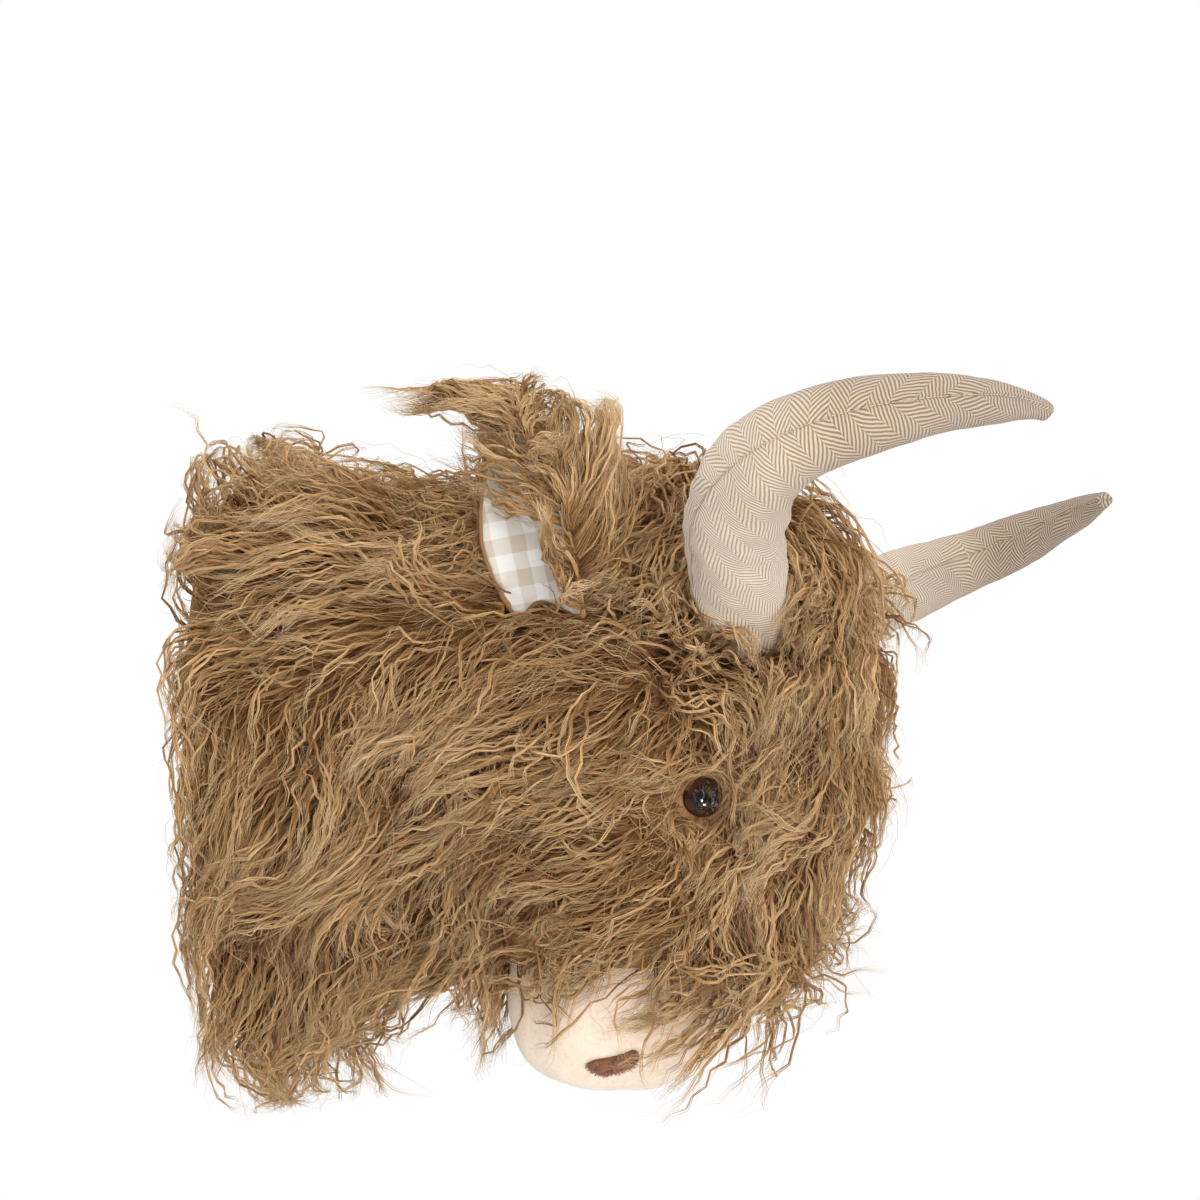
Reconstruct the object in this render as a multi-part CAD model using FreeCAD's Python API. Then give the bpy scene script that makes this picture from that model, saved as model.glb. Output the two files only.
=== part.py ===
import FreeCAD, Part
import math
import os

# Wall-mounted plush highland-cow head. Millimetres.
# +Z is up, the head looks along -Y, and the wall is the plane Y = 0.
# The origin is on the wall plane, behind the middle of the neck.
# The cow's left side is +X and its right side is -X.

V = FreeCAD.Vector
LEFT = 1
RIGHT = -1
SIDE_NAMES = {LEFT: "left", RIGHT: "right"}

# ---- cloth and board ----
SKIN = 2.0                # backing cloth of the faux fur, and the horn cloth
SUEDE = 1.6               # muzzle cover
PATCH = 1.0               # nostril patch
FELT = 1.2                # felt sheet over the back
STAPLE_WIRE = 0.5
BOARD_THICK = 12.0
LIP_WIDTH = 14.0          # fur cloth turned over the back edge of the board
FELT_MARGIN = 6.0         # felt stops this far inside the board's edge

LIP_BACK = -(FELT + STAPLE_WIRE)
BOARD_BACK = LIP_BACK - SKIN
BOARD_FRONT = BOARD_BACK - BOARD_THICK

# ---- neck: sections parallel to the wall ----
# (y, half width, top z, bottom z) of the cloth's outer face
NECK_SECTIONS = [
    (LIP_BACK, 92.0, 134.0, -148.0),
    (-28.0, 93.0, 127.0, -130.0),
    (-62.0, 89.0, 119.0, -112.0),
    (-98.0, 84.0, 114.0, -99.0),
    (-156.0, 80.0, 109.0, -90.0),
]
NECK_POWER = 2.35         # 2 is an ellipse, more is squarer
NECK_EGG = 0.13           # how much wider the top is than the bottom

# ---- head: level sections, from the crown down ----
# (z, centre y, half depth, half width) of the cloth's outer face
HEAD_SECTIONS = [
    (114.0, -211.0, 34.0, 32.0),
    (106.0, -212.0, 61.0, 58.0),
    (80.0, -213.0, 81.0, 80.0),
    (40.0, -214.0, 83.0, 88.0),
    (0.0, -215.0, 82.0, 87.0),
    (-40.0, -212.0, 79.0, 80.0),
    (-75.0, -206.0, 73.0, 71.0),
    (-104.0, -199.0, 66.0, 61.0),
]
HEAD_POWER = 2.3

# ---- muzzle: level sections, tucked into the open bottom of the head ----
MUZZLE_SECTIONS = [
    (-98.0, -197.0, 60.0, 56.0),
    (-122.0, -192.5, 57.5, 56.0),
    (-142.0, -189.0, 50.5, 49.0),
    (-156.0, -186.0, 36.0, 35.0),
    (-165.0, -184.0, 14.0, 13.0),
]
MUZZLE_POWER = 2.2

# ---- cloth panel edges ----
GUSSET = 34.0             # half width of the middle strip of the head
CROWN_FRONT_Y = -250.0    # the crown panel meets the forehead panel here
CROWN_LOW_Z = 60.0
MANE_WALL_Z = -30.0       # mane and side panels meet here at the wall
MANE_SLOPE = 0.28         # that seam rises towards the head
THROAT_WALL_Z = -95.0
THROAT_SLOPE = 0.28

# ---- horns: centre line of the left one, out of the head, forward and up ----
HORN_LINE = [
    (62.0, -266.0, 51.0),
    (237.0, -297.0, 113.0),
    (258.0, -310.0, 97.0),
    (209.0, -384.0, 131.0),
    (139.0, -409.0, 128.0),
]
# (share of the Bezier parameter, radius)
HORN_RADII = [
    (0.0, 20.5), (0.1, 20.8), (0.22, 21.0), (0.36, 18.6), (0.5, 16.6),
    (0.62, 15.2), (0.74, 12.6), (0.85, 9.6), (0.93, 6.6), (1.0, 4.2),
]

HORN_SEAM_CLIMB = 22.0    # degrees that the outer seam climbs, root to tip

# ---- ears ----
EAR_ROOT = V(85.0, -185.0, 46.0)
EAR_UP = V(0.22, 0.15, 0.965)
EAR_FACE = V(0.86, 0.48, -0.16)     # the lining looks this way
EAR_LENGTH = 108.0
EAR_HALF_WIDTH = 29.0
EAR_CUP = 46.0            # radius of the cupped lining
EAR_LINING = 1.0
EAR_BACK = 2.6
EAR_CLEARANCE = 3.0       # seam gap that lets the ear flop

# ---- safety eyes ----
EYE_CENTRE = V(76.0, -249.5, -27.0)
EYE_AXIS = V(0.83, -0.55, -0.08)
EYE_R = 9.0
EYE_DOME = 5.3            # height of the dome over its flat back
EYE_BASE = 1.0
EYE_PUPIL_R = 5.3
EYE_PUPIL_RISE = 0.9
EYE_IRIS = 0.4
EYE_STEM_R = 2.5
EYE_STEM = 15.0
EYE_WASHER_R = 8.0
EYE_WASHER = 1.6
EYE_WASHER_DEPTH = 3.8    # from the eye's back to the washer

# ---- nostrils ----
NOSTRIL_CENTRE = V(42.0, -196.5, -149.0)
NOSTRIL_AXIS = V(0.76, -0.10, -0.64)
# (towards the wall, up) over the muzzle, from the patch's centre
NOSTRIL_TOP = [(-11.3, 8.9), (-1.6, 5.1), (5.8, 3.5), (11.5, -0.3)]
NOSTRIL_LOW = [(11.5, -0.3), (9.6, -4.6), (4.4, -7.9), (-0.8, -6.9), (-9.1, -2.6), (-13.4, 4.0), (-11.3, 8.9)]

# ---- hanger ----
HANG_Z = 62.0             # middle of the ring's loop
POCKET = (36.0, 70.0)     # width, height of the recess in the board's back
RING_WIRE = 2.4
RING_BAR = 19.0           # length of the ring's straight bar, wire centres
RING_REACH = 15.0         # from the bar to the top of the bow
STRAP = (14.0, 1.2)       # width, thickness
STRAP_LENGTH = 30.0
SCREW_R = 1.6
SCREW_HEAD_R = 3.1
SCREW_HEAD = 1.2
SCREW_LENGTH = 6.2
RING_GAP = 0.1            # running clearance of the ring in its strap


def box(x0, x1, y0, y1, z0, z1):
    return Part.makeBox(x1 - x0, y1 - y0, z1 - z0, V(x0, y0, z0))


def mirror_x(shape):
    return shape.mirror(V(0, 0, 0), V(1, 0, 0))


def for_side(shape, side):
    return shape if side == LEFT else mirror_x(shape)


def closed_curve(points):
    curve = Part.BSplineCurve()
    curve.interpolate(points, PeriodicFlag=True)
    return Part.Wire([curve.toShape()])


def power_circle(angle, power):
    """A point of the unit superellipse."""
    c = math.cos(angle)
    s = math.sin(angle)
    return (math.copysign(abs(c) ** (2 / power), c), math.copysign(abs(s) ** (2 / power), s))


def ring_angles(count=16):
    return [2 * math.pi * (i + 0.5) / count for i in range(count)]


def neck_wire(y, half_width, top, bottom, inset=0.0):
    middle = (top + bottom) / 2
    half_height = (top - bottom) / 2 - inset
    points = []
    for angle in ring_angles():
        across, up = power_circle(angle, NECK_POWER)
        width = (half_width - inset) * (1 + NECK_EGG * up)
        points.append(V(width * across, y, middle + half_height * up))
    return closed_curve(points)


def level_wire(z, centre_y, half_depth, half_width, power, inset=0.0):
    points = []
    for angle in ring_angles():
        across, along = power_circle(angle, power)
        x = (half_width - inset) * across
        points.append(V(x, centre_y + (half_depth - inset) * along, z))
    return closed_curve(points)


def neck_solid(inset=0.0):
    wires = [neck_wire(*section, inset=inset) for section in NECK_SECTIONS]
    return Part.makeLoft(wires, True)


def level_solid(sections, power, inset=0.0, cap_inset=0.0, cap_at_top=True):
    """A stack of level sections. cap_inset moves the closed end inwards."""
    wires = []
    for i, (z, centre_y, half_depth, half_width) in enumerate(sections):
        is_cap = i == (0 if cap_at_top else len(sections) - 1)
        shift = cap_inset * (-1 if cap_at_top else 1) if is_cap else 0.0
        wires.append(level_wire(z + shift, centre_y, half_depth, half_width, power, inset))
    return Part.makeLoft(wires, True)


def head_solid(inset=0.0):
    return level_solid(HEAD_SECTIONS, HEAD_POWER, inset, inset, True)


def muzzle_solid(inset=0.0):
    return level_solid(MUZZLE_SECTIONS, MUZZLE_POWER, inset, inset, False)


def board_face(y, inset):
    _, half_width, top, bottom = NECK_SECTIONS[0]
    return Part.Face(neck_wire(y, half_width, top, bottom, inset))


def slab(y_back, y_front, inset):
    """A flat plate with the board's outline."""
    return board_face(y_back, inset).extrude(V(0, y_front - y_back, 0))


def above_plane(wall_z, slope):
    """Everything above a seam plane that rises away from the wall."""
    reach = 400.0
    points = [
        V(-reach, 10, wall_z - 10 * slope),
        V(-reach, -reach, wall_z + reach * slope),
        V(-reach, -reach, 2 * reach),
        V(-reach, 10, 2 * reach),
    ]
    face = Part.Face(Part.makePolygon(points + points[:1]))
    return face.extrude(V(2 * reach, 0, 0))


def axis_cylinder(radius, start, length, origin, axis):
    unit = V(axis).normalize()
    return Part.makeCylinder(radius, length, origin + unit * start, unit)


# ---- hanger ----

def ring_bar_line():
    bar_y = ring_centre_y()
    bar_z = HANG_Z - RING_REACH / 2
    half = RING_BAR / 2
    return bar_y, bar_z, half


def ring_centre_y():
    return BOARD_BACK - STRAP[1] - RING_GAP - RING_WIRE / 2 - 0.6


def hanger_ring():
    """A D-shaped wire ring: straight bar below, bow above."""
    y, bar_z, half = ring_bar_line()
    low_left = V(-half, y, bar_z)
    low_right = V(half, y, bar_z)
    shoulder = bar_z + RING_REACH - half
    wire = [
        Part.LineSegment(low_left, low_right).toShape(),
        Part.LineSegment(low_right, V(half, y, shoulder)).toShape(),
        Part.Arc(V(half, y, shoulder), V(0, y, shoulder + half), V(-half, y, shoulder)).toShape(),
        Part.LineSegment(V(-half, y, shoulder), low_left).toShape(),
    ]
    radius = RING_WIRE / 2
    solid = None
    for edge in wire:
        profile = ring_profile(edge, radius)
        solid = profile if solid is None else solid.fuse(profile)
    for corner in (low_left, low_right):
        solid = solid.fuse(Part.makeSphere(radius, corner))
    return solid.removeSplitter()


def ring_profile(edge, radius):
    start = edge.valueAt(edge.FirstParameter)
    tangent = edge.tangentAt(edge.FirstParameter)
    circle = Part.Wire([Part.makeCircle(radius, start, tangent)])
    return Part.Wire([edge]).makePipeShell([circle], True, True)


def hanger_strap():
    """A steel strap folded round the ring's bar, its two leaves screwed down together."""
    y, bar_z, _ = ring_bar_line()
    width, thick = STRAP
    inner = RING_WIRE / 2 + RING_GAP
    outer = inner + thick
    eye = Part.makeCylinder(outer, width, V(-width / 2, y, bar_z), V(1, 0, 0))
    front = y - inner - thick
    top = bar_z
    leaf_front = box(-width / 2, width / 2, front, front + thick, top - STRAP_LENGTH, top)
    back = front + thick
    leaf_back = box(-width / 2, width / 2, back, back + thick, top - STRAP_LENGTH, top)
    strap = eye.fuse(leaf_front).fuse(leaf_back)
    hole = Part.makeCylinder(inner, width + 2, V(-width / 2 - 1, y, bar_z), V(1, 0, 0))
    strap = strap.cut(hole)
    for z in screw_heights():
        strap = strap.cut(Part.makeCylinder(SCREW_R, 20, V(0, y + 10, z), V(0, -1, 0)))
    return strap.removeSplitter()


def screw_heights():
    bar_z = ring_bar_line()[1]
    return [bar_z - 10.0, bar_z - 23.0]


def strap_leaf_back():
    y = ring_bar_line()[0]
    return y - RING_WIRE / 2 - RING_GAP + STRAP[1]


def pocket_floor():
    return strap_leaf_back() - 2 * STRAP[1]


def hanger_screws():
    back = strap_leaf_back()
    screws = []
    top = back + SCREW_HEAD
    for z in screw_heights():
        head = Part.makeCone(SCREW_HEAD_R, SCREW_R, SCREW_HEAD, V(0, top, z), V(0, -1, 0))
        shank = Part.makeCylinder(SCREW_R, SCREW_LENGTH, V(0, back, z), V(0, -1, 0))
        slot = box(-SCREW_HEAD_R, SCREW_HEAD_R, top - 0.5, top + 1, z - 0.4, z + 0.4)
        screws.append(head.fuse(shank).cut(slot).removeSplitter())
    return Part.makeCompound(screws)


def pocket(grow=0.0, back=None):
    width, height = POCKET
    low = HANG_Z + RING_REACH / 2 + 12 - height
    start = BOARD_BACK if back is None else back
    return box(
        -width / 2 - grow, width / 2 + grow, pocket_floor(), start + 1,
        low - grow, low + height + grow,
    )


def back_board():
    board = slab(BOARD_BACK, BOARD_FRONT, SKIN)
    return board.common(neck_solid(SKIN)).cut(pocket())


def back_felt():
    felt = slab(0, -FELT, SKIN + FELT_MARGIN)
    return felt.cut(pocket(2.0, 0))


def staples():
    """Wire staples through the turned-over cloth, evenly round the board."""
    count = 24
    crown = 10.0
    leg = 6.0
    _, half_width, top, bottom = NECK_SECTIONS[0]
    edge = neck_wire(LIP_BACK, half_width, top, bottom, SKIN + LIP_WIDTH / 2).Edges[0]
    made = []
    for point in edge.discretize(Number=count + 1)[:-1]:
        tangent = edge.tangentAt(edge.Curve.parameter(point))
        turn = math.degrees(math.atan2(tangent.z, tangent.x))
        wire = STAPLE_WIRE
        bar = box(-crown / 2, crown / 2, 0, wire, -wire / 2, wire / 2)
        leg_a = box(-crown / 2, -crown / 2 + wire, -leg, 0, -wire / 2, wire / 2)
        leg_b = box(crown / 2 - wire, crown / 2, -leg, 0, -wire / 2, wire / 2)
        staple = bar.fuse(leg_a).fuse(leg_b).removeSplitter()
        staple.rotate(V(0, 0, 0), V(0, 1, 0), -turn)
        staple.translate(point)
        made.append(staple)
    return Part.makeCompound(made)


# ---- neck ----

def neck_cloth(head):
    outer = neck_solid()
    inner = neck_solid(SKIN)
    shell = outer.cut(inner)
    lip = slab(LIP_BACK, BOARD_BACK, 0).cut(slab(LIP_BACK + 1, BOARD_BACK - 1, SKIN + LIP_WIDTH))
    return shell.fuse(lip).cut(head).removeSplitter()


def neck_panels(head):
    cloth = neck_cloth(head)
    mane_zone = above_plane(MANE_WALL_Z, MANE_SLOPE)
    side_zone = above_plane(THROAT_WALL_Z, THROAT_SLOPE)
    sides = cloth.common(side_zone).cut(mane_zone)
    reach = 400.0
    left_half = box(0, reach, -reach, reach, -reach, reach)
    return {
        "neck_mane": cloth.common(mane_zone),
        "neck_side_left": sides.common(left_half),
        "neck_side_right": sides.cut(left_half),
        "neck_throat": cloth.cut(side_zone),
    }


def neck_stuffing(head):
    filling = neck_solid(SKIN)
    behind = box(-400, 400, BOARD_FRONT, 50, -400, 400)
    return filling.cut(behind).cut(head)


# ---- head ----

def head_panels(eye_holes):
    cloth = head_solid().cut(head_solid(SKIN)).cut(muzzle_solid())
    for hole in eye_holes:
        cloth = cloth.cut(hole)
    reach = 400.0
    strip = box(-GUSSET, GUSSET, -reach, 0, -reach, reach)
    crown_zone = box(-GUSSET, GUSSET, CROWN_FRONT_Y, 0, CROWN_LOW_Z, reach)
    middle_y = HEAD_SECTIONS[3][1]
    front_zone = box(-GUSSET, GUSSET, -reach, middle_y, -reach, reach)
    middle = cloth.common(strip)
    front = middle.common(front_zone).cut(crown_zone)
    return {
        "crown_fur": middle.common(crown_zone),
        "forehead_fur": front,
        "jaw_fur": middle.cut(front_zone).cut(crown_zone),
        "cheek_fur_left": cloth.common(box(GUSSET, reach, -reach, 0, -reach, reach)),
        "cheek_fur_right": cloth.common(box(-reach, -GUSSET, -reach, 0, -reach, reach)),
    }


def head_stuffing(cavities):
    filling = head_solid(SKIN).cut(muzzle_solid())
    for cavity in cavities:
        filling = filling.cut(cavity)
    return filling


# ---- muzzle ----

def muzzle_covers():
    cover = muzzle_solid().cut(muzzle_solid(SUEDE))
    left_half = box(0, 200, -400, 0, -400, 0)
    return {
        "muzzle_cover_left": cover.common(left_half),
        "muzzle_cover_right": cover.cut(left_half),
    }


def nostril(side):
    """A half-moon suede patch that follows the muzzle: nearly flat above, round below."""
    axis = V(NOSTRIL_AXIS).normalize()
    across = V(0, 0, 1).cross(axis).normalize()
    up = axis.cross(across).normalize()
    start = NOSTRIL_CENTRE - axis * 15

    def place(u, v):
        return start + across * u + up * v

    top = Part.BSplineCurve()
    top.interpolate([place(u, v) for u, v in NOSTRIL_TOP])
    low = Part.BSplineCurve()
    low.interpolate([place(u, v) for u, v in NOSTRIL_LOW])
    outline = Part.Wire([top.toShape(), low.toShape()])
    prism = Part.Face(outline).extrude(axis * 30)
    return muzzle_solid(-PATCH).cut(muzzle_solid()).common(for_side(prism, side))


# ---- eyes ----

def eye_part(radius, start, length):
    return axis_cylinder(radius, start, length, EYE_CENTRE, EYE_AXIS)


def eye_core():
    """Black moulding: backing disc, raised pupil, and the stem that goes through the cloth."""
    disc = eye_part(EYE_R, 0, EYE_BASE)
    pupil = eye_part(EYE_PUPIL_R, EYE_BASE, EYE_PUPIL_RISE)
    stem = eye_part(EYE_STEM_R, -EYE_STEM, EYE_STEM)
    return disc.fuse(pupil).fuse(stem).removeSplitter()


def eye_iris():
    ring = eye_part(EYE_R - 0.2, EYE_BASE, EYE_IRIS)
    return ring.cut(eye_part(EYE_PUPIL_R, EYE_BASE - 1, EYE_IRIS + 2))


def eye_dome():
    radius = (EYE_R ** 2 + EYE_DOME ** 2) / (2 * EYE_DOME)
    axis = V(EYE_AXIS).normalize()
    flat = EYE_BASE + EYE_IRIS
    centre = EYE_CENTRE + axis * (flat + EYE_DOME - radius)
    ball = Part.makeSphere(radius, centre)
    cap = ball.common(eye_part(EYE_R + 3, flat, EYE_DOME + 2))
    return cap.cut(eye_part(EYE_PUPIL_R, 0, EYE_BASE + EYE_PUPIL_RISE))


def eye_washer():
    start = -EYE_WASHER_DEPTH - EYE_WASHER
    disc = eye_part(EYE_WASHER_R, start, EYE_WASHER)
    return disc.cut(eye_part(EYE_STEM_R, start - 1, EYE_WASHER + 2))


def eye_hole():
    return eye_part(EYE_STEM_R, -EYE_STEM, EYE_STEM + 5)


def eye_seat():
    """The dent that the eye's backing disc pulls into the cloth."""
    return eye_part(EYE_R + 0.3, 0, 12)


def eye_cavity():
    room = eye_part(EYE_WASHER_R + 0.3, -EYE_WASHER_DEPTH - EYE_WASHER - 0.2, EYE_WASHER + 0.4)
    return room.fuse(eye_hole()).fuse(eye_part(EYE_R + 0.3, 0, 12))


# ---- horns ----

def bezier(points, t):
    level = [V(*p) for p in points]
    while len(level) > 1:
        level = [a * (1 - t) + b * t for a, b in zip(level, level[1:])]
    return level[0]


def horn_direction(t):
    step = 0.002
    low = max(0.0, t - step)
    high = min(1.0, t + step)
    return (bezier(HORN_LINE, high) - bezier(HORN_LINE, low)).normalize()


def horn_stations():
    """Centre, direction and radius along the horn, with a rounded tip."""
    stations = []
    for t, radius in HORN_RADII:
        stations.append((bezier(HORN_LINE, t), horn_direction(t), radius))
    centre, direction, radius = stations[-1]
    for degrees in (30, 58, 78):
        angle = math.radians(degrees)
        tip = centre + direction * (radius * math.sin(angle))
        stations.append((tip, direction, radius * math.cos(angle)))
    return stations


def horn_bow_normal():
    """Upward normal of the plane that the horn curves in."""
    root = bezier(HORN_LINE, 0.0)
    middle = bezier(HORN_LINE, 0.5)
    tip = bezier(HORN_LINE, 1.0)
    normal = (tip - root).cross(middle - root).normalize()
    return normal if normal.z > 0 else normal * -1.0


def section_frame(direction, place):
    """Two unit vectors across the horn. The first points at the outer seam,
    which climbs towards the tip."""
    outward = direction.cross(horn_bow_normal()).normalize()
    upward = outward.cross(direction).normalize()
    climb = math.radians(HORN_SEAM_CLIMB * place)
    side = outward * math.cos(climb) + upward * math.sin(climb)
    return side, side.cross(direction).normalize()


def horn_arc(centre, frame, radius, start, sweep):
    """An arc of the horn's round section; angles are in degrees from the outer seam."""
    side, other = frame

    def at(degrees):
        angle = math.radians(degrees)
        return centre + side * (radius * math.cos(angle)) + other * (radius * math.sin(angle))

    return Part.Arc(at(start), at(start + sweep / 2), at(start + sweep)).toShape()


def end_points(edge):
    return edge.valueAt(edge.FirstParameter), edge.valueAt(edge.LastParameter)


def horn_panel(start):
    """Half of the horn's cloth, from seam to seam."""
    wires = []
    stations = horn_stations()
    for i, (centre, direction, radius) in enumerate(stations):
        frame = section_frame(direction, i / (len(stations) - 1))
        outer = horn_arc(centre, frame, radius, start, 180)
        inner = horn_arc(centre, frame, inner_radius(radius), start + 180, -180)
        outer_start, outer_end = end_points(outer)
        inner_start, inner_end = end_points(inner)
        edge_a = Part.LineSegment(outer_end, inner_start).toShape()
        edge_b = Part.LineSegment(inner_end, outer_start).toShape()
        wires.append(Part.Wire([outer, edge_a, inner, edge_b]))
    return Part.makeLoft(wires, True, True)


def inner_radius(radius):
    return max(radius - SKIN, 0.35 * radius)


def horn_filling():
    wires = []
    stations = horn_stations()
    for i, (centre, direction, radius) in enumerate(stations):
        frame = section_frame(direction, i / (len(stations) - 1))
        arcs = [horn_arc(centre, frame, inner_radius(radius), start, 180) for start in (0, 180)]
        wires.append(Part.Wire(arcs))
    return Part.makeLoft(wires, True, True)


def horn_parts(head, side):
    return {
        "horn_upper": for_side(horn_panel(0), side).cut(head),
        "horn_lower": for_side(horn_panel(180), side).cut(head),
        "horn_stuffing": for_side(horn_filling(), side).cut(head),
    }


# ---- ears ----

def ear_frame():
    up = V(EAR_UP).normalize()
    across = up.cross(EAR_FACE).normalize()
    face = across.cross(up).normalize()
    return up, across, face


def ear_leaf(clear):
    """The ear's outline, pushed through along its facing direction."""
    up, across, face = ear_frame()
    start = EAR_ROOT - face * 60

    def place(u, v):
        return start + across * (u * EAR_HALF_WIDTH) + up * (v * EAR_LENGTH)

    outline = Part.BSplineCurve()
    shape = [(-0.62, -0.06), (-0.86, 0.22), (-1.0, 0.5), (-0.72, 0.8), (-0.2, 0.99),
             (0.16, 0.97), (0.66, 0.78), (0.98, 0.48), (0.9, 0.2), (0.6, -0.06)]
    outline.interpolate([place(u, v) for u, v in shape])
    foot = Part.LineSegment(place(*shape[-1]), place(*shape[0])).toShape()
    leaf = Part.Face(Part.Wire([outline.toShape(), foot])).extrude(face * 120)
    return leaf.cut(clear)


def ear_shell(leaf, inner_radius, outer_radius):
    """The part of the leaf between two cylinders, so that the ear is cupped across its width."""
    up, _, face = ear_frame()
    axis_point = EAR_ROOT + face * EAR_CUP - up * 200
    outer = Part.makeCylinder(outer_radius, 600, axis_point, up)
    inner = Part.makeCylinder(inner_radius, 600, axis_point, up)
    behind = EAR_ROOT - face * 60
    half = leaf.common(outer.cut(inner))
    keep = Part.makeCylinder(200, 60 + EAR_CUP * 0.72, behind, face)
    return half.common(keep)


def ear_parts(clear):
    leaf = ear_leaf(clear)
    return {
        "ear_lining": ear_shell(leaf, EAR_CUP, EAR_CUP + EAR_LINING),
        "ear_back": ear_shell(leaf, EAR_CUP + EAR_LINING, EAR_CUP + EAR_LINING + EAR_BACK),
    }


def build():
    parts = {}
    head = head_solid()
    parts["back_board"] = back_board()
    parts["back_felt"] = back_felt()
    parts["staples"] = staples()
    parts["hanger_strap"] = hanger_strap()
    parts["hanger_ring"] = hanger_ring()
    parts["hanger_screws"] = hanger_screws()
    parts["neck_stuffing"] = neck_stuffing(head)
    parts.update(neck_panels(head))

    hole = eye_hole()
    seat = eye_seat()
    cavity = eye_cavity()
    parts.update(head_panels([hole, mirror_x(hole), seat, mirror_x(seat)]))
    parts["head_stuffing"] = head_stuffing([cavity, mirror_x(cavity)])
    parts["muzzle_stuffing"] = muzzle_solid(SUEDE)
    parts.update(muzzle_covers())

    clear = head_solid(-EAR_CLEARANCE)
    eye = {
        "eye_core": eye_core(),
        "eye_iris": eye_iris(),
        "eye_dome": eye_dome(),
        "eye_washer": eye_washer(),
    }
    ear = ear_parts(clear)
    for side, name in SIDE_NAMES.items():
        parts["nostril_" + name] = nostril(side)
        for piece, shape in horn_parts(head, side).items():
            parts[piece + "_" + name] = shape
        for group in (eye, ear):
            for piece, shape in group.items():
                parts[piece + "_" + name] = for_side(shape, side)
    return parts


def check_and_write(parts):
    for name, shape in parts.items():
        solids = len(shape.Solids)
        size = shape.BoundBox
        print("%-20s solids %d valid %s vol %.1f cm3 x %.0f..%.0f y %.0f..%.0f z %.0f..%.0f" % (
            name, solids, shape.isValid(), shape.Volume / 1000,
            size.XMin, size.XMax, size.YMin, size.YMax, size.ZMin, size.ZMax))
        shape.exportStep(os.path.join("parts", name + ".step"))


os.makedirs("parts", exist_ok=True)
check_and_write(build())
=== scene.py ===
import bpy
import math
import numpy as np
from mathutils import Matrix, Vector
from mathutils.bvhtree import BVHTree


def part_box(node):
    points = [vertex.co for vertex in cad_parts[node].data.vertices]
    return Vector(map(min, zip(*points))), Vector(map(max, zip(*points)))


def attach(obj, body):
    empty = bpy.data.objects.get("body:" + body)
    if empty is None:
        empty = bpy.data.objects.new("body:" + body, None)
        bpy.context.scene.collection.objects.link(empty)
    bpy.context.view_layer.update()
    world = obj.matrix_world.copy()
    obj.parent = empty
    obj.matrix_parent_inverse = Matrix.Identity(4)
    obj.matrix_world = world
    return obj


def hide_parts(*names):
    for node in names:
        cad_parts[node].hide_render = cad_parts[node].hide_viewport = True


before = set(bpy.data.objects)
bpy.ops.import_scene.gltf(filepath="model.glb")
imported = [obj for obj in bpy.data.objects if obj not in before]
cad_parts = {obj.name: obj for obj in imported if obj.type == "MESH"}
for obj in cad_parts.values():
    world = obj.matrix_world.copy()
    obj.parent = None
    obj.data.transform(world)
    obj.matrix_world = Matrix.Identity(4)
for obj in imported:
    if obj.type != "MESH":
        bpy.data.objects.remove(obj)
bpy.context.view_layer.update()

MM = 0.001
UV_NAME = "OFBake"
SIDES = {"left": 1, "right": -1}

# Cloth thickness over the stuffing
SKIN = 2.0 * MM

# Horn centre line of the left horn, as built in the CAD model
HORN_LINE = np.array([
    (62.0, -266.0, 51.0),
    (237.0, -297.0, 113.0),
    (258.0, -310.0, 97.0),
    (209.0, -384.0, 131.0),
    (139.0, -409.0, 128.0),
]) * MM
HORN_RADII = np.array([
    (0.0, 20.5), (0.1, 20.8), (0.22, 21.0), (0.36, 18.6), (0.5, 16.6),
    (0.62, 15.2), (0.74, 12.6), (0.85, 9.6), (0.93, 6.6), (1.0, 4.2),
])
HORN_SEAM_CLIMB = math.radians(22.0)
HORN_GRAIN = 0.10       # the herringbone's columns run as the horn does here
HORN_TURN = math.radians(28.0)

# Fur stays between these heights
FUR_LOW, FUR_HIGH = -180.0 * MM, 168.0 * MM

EYE_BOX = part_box("eye_dome_left")
EYE = np.array((EYE_BOX[0] + EYE_BOX[1]) / 2)
EYE_AXIS = np.array((0.93, -0.36, 0.0))
EYE_CLEAR = 8.5 * MM
EYE_PARTING = 1.35        # the hair is parted out to this many times that reach
EYE_REGION = 40 * MM      # only hair this near an eye is parted


# ---------------------------------------------------------------- small maths

def unit(v):
    return v / np.maximum(np.linalg.norm(v, axis=-1, keepdims=True), 1e-12)


def smooth(a, b, x):
    t = np.clip((x - a) / (b - a), 0, 1)
    return t * t * (3 - 2 * t)


def mix(a, b, t):
    return a + (b - a) * t


class Waves:
    """A smooth random vector field: a few sine waves in random directions."""

    def __init__(self, scale, count=10, seed=1):
        rng = np.random.default_rng(seed)
        self.k = unit(rng.normal(size=(count, 3))) * (2 * math.pi / scale) * rng.uniform(0.6, 1.6, (count, 1))
        self.amp = rng.normal(size=(count, 3)) / math.sqrt(count)
        self.phase = rng.uniform(0, 2 * math.pi, count)

    def __call__(self, p):
        return np.sin(p @ self.k.T + self.phase) @ self.amp


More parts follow.
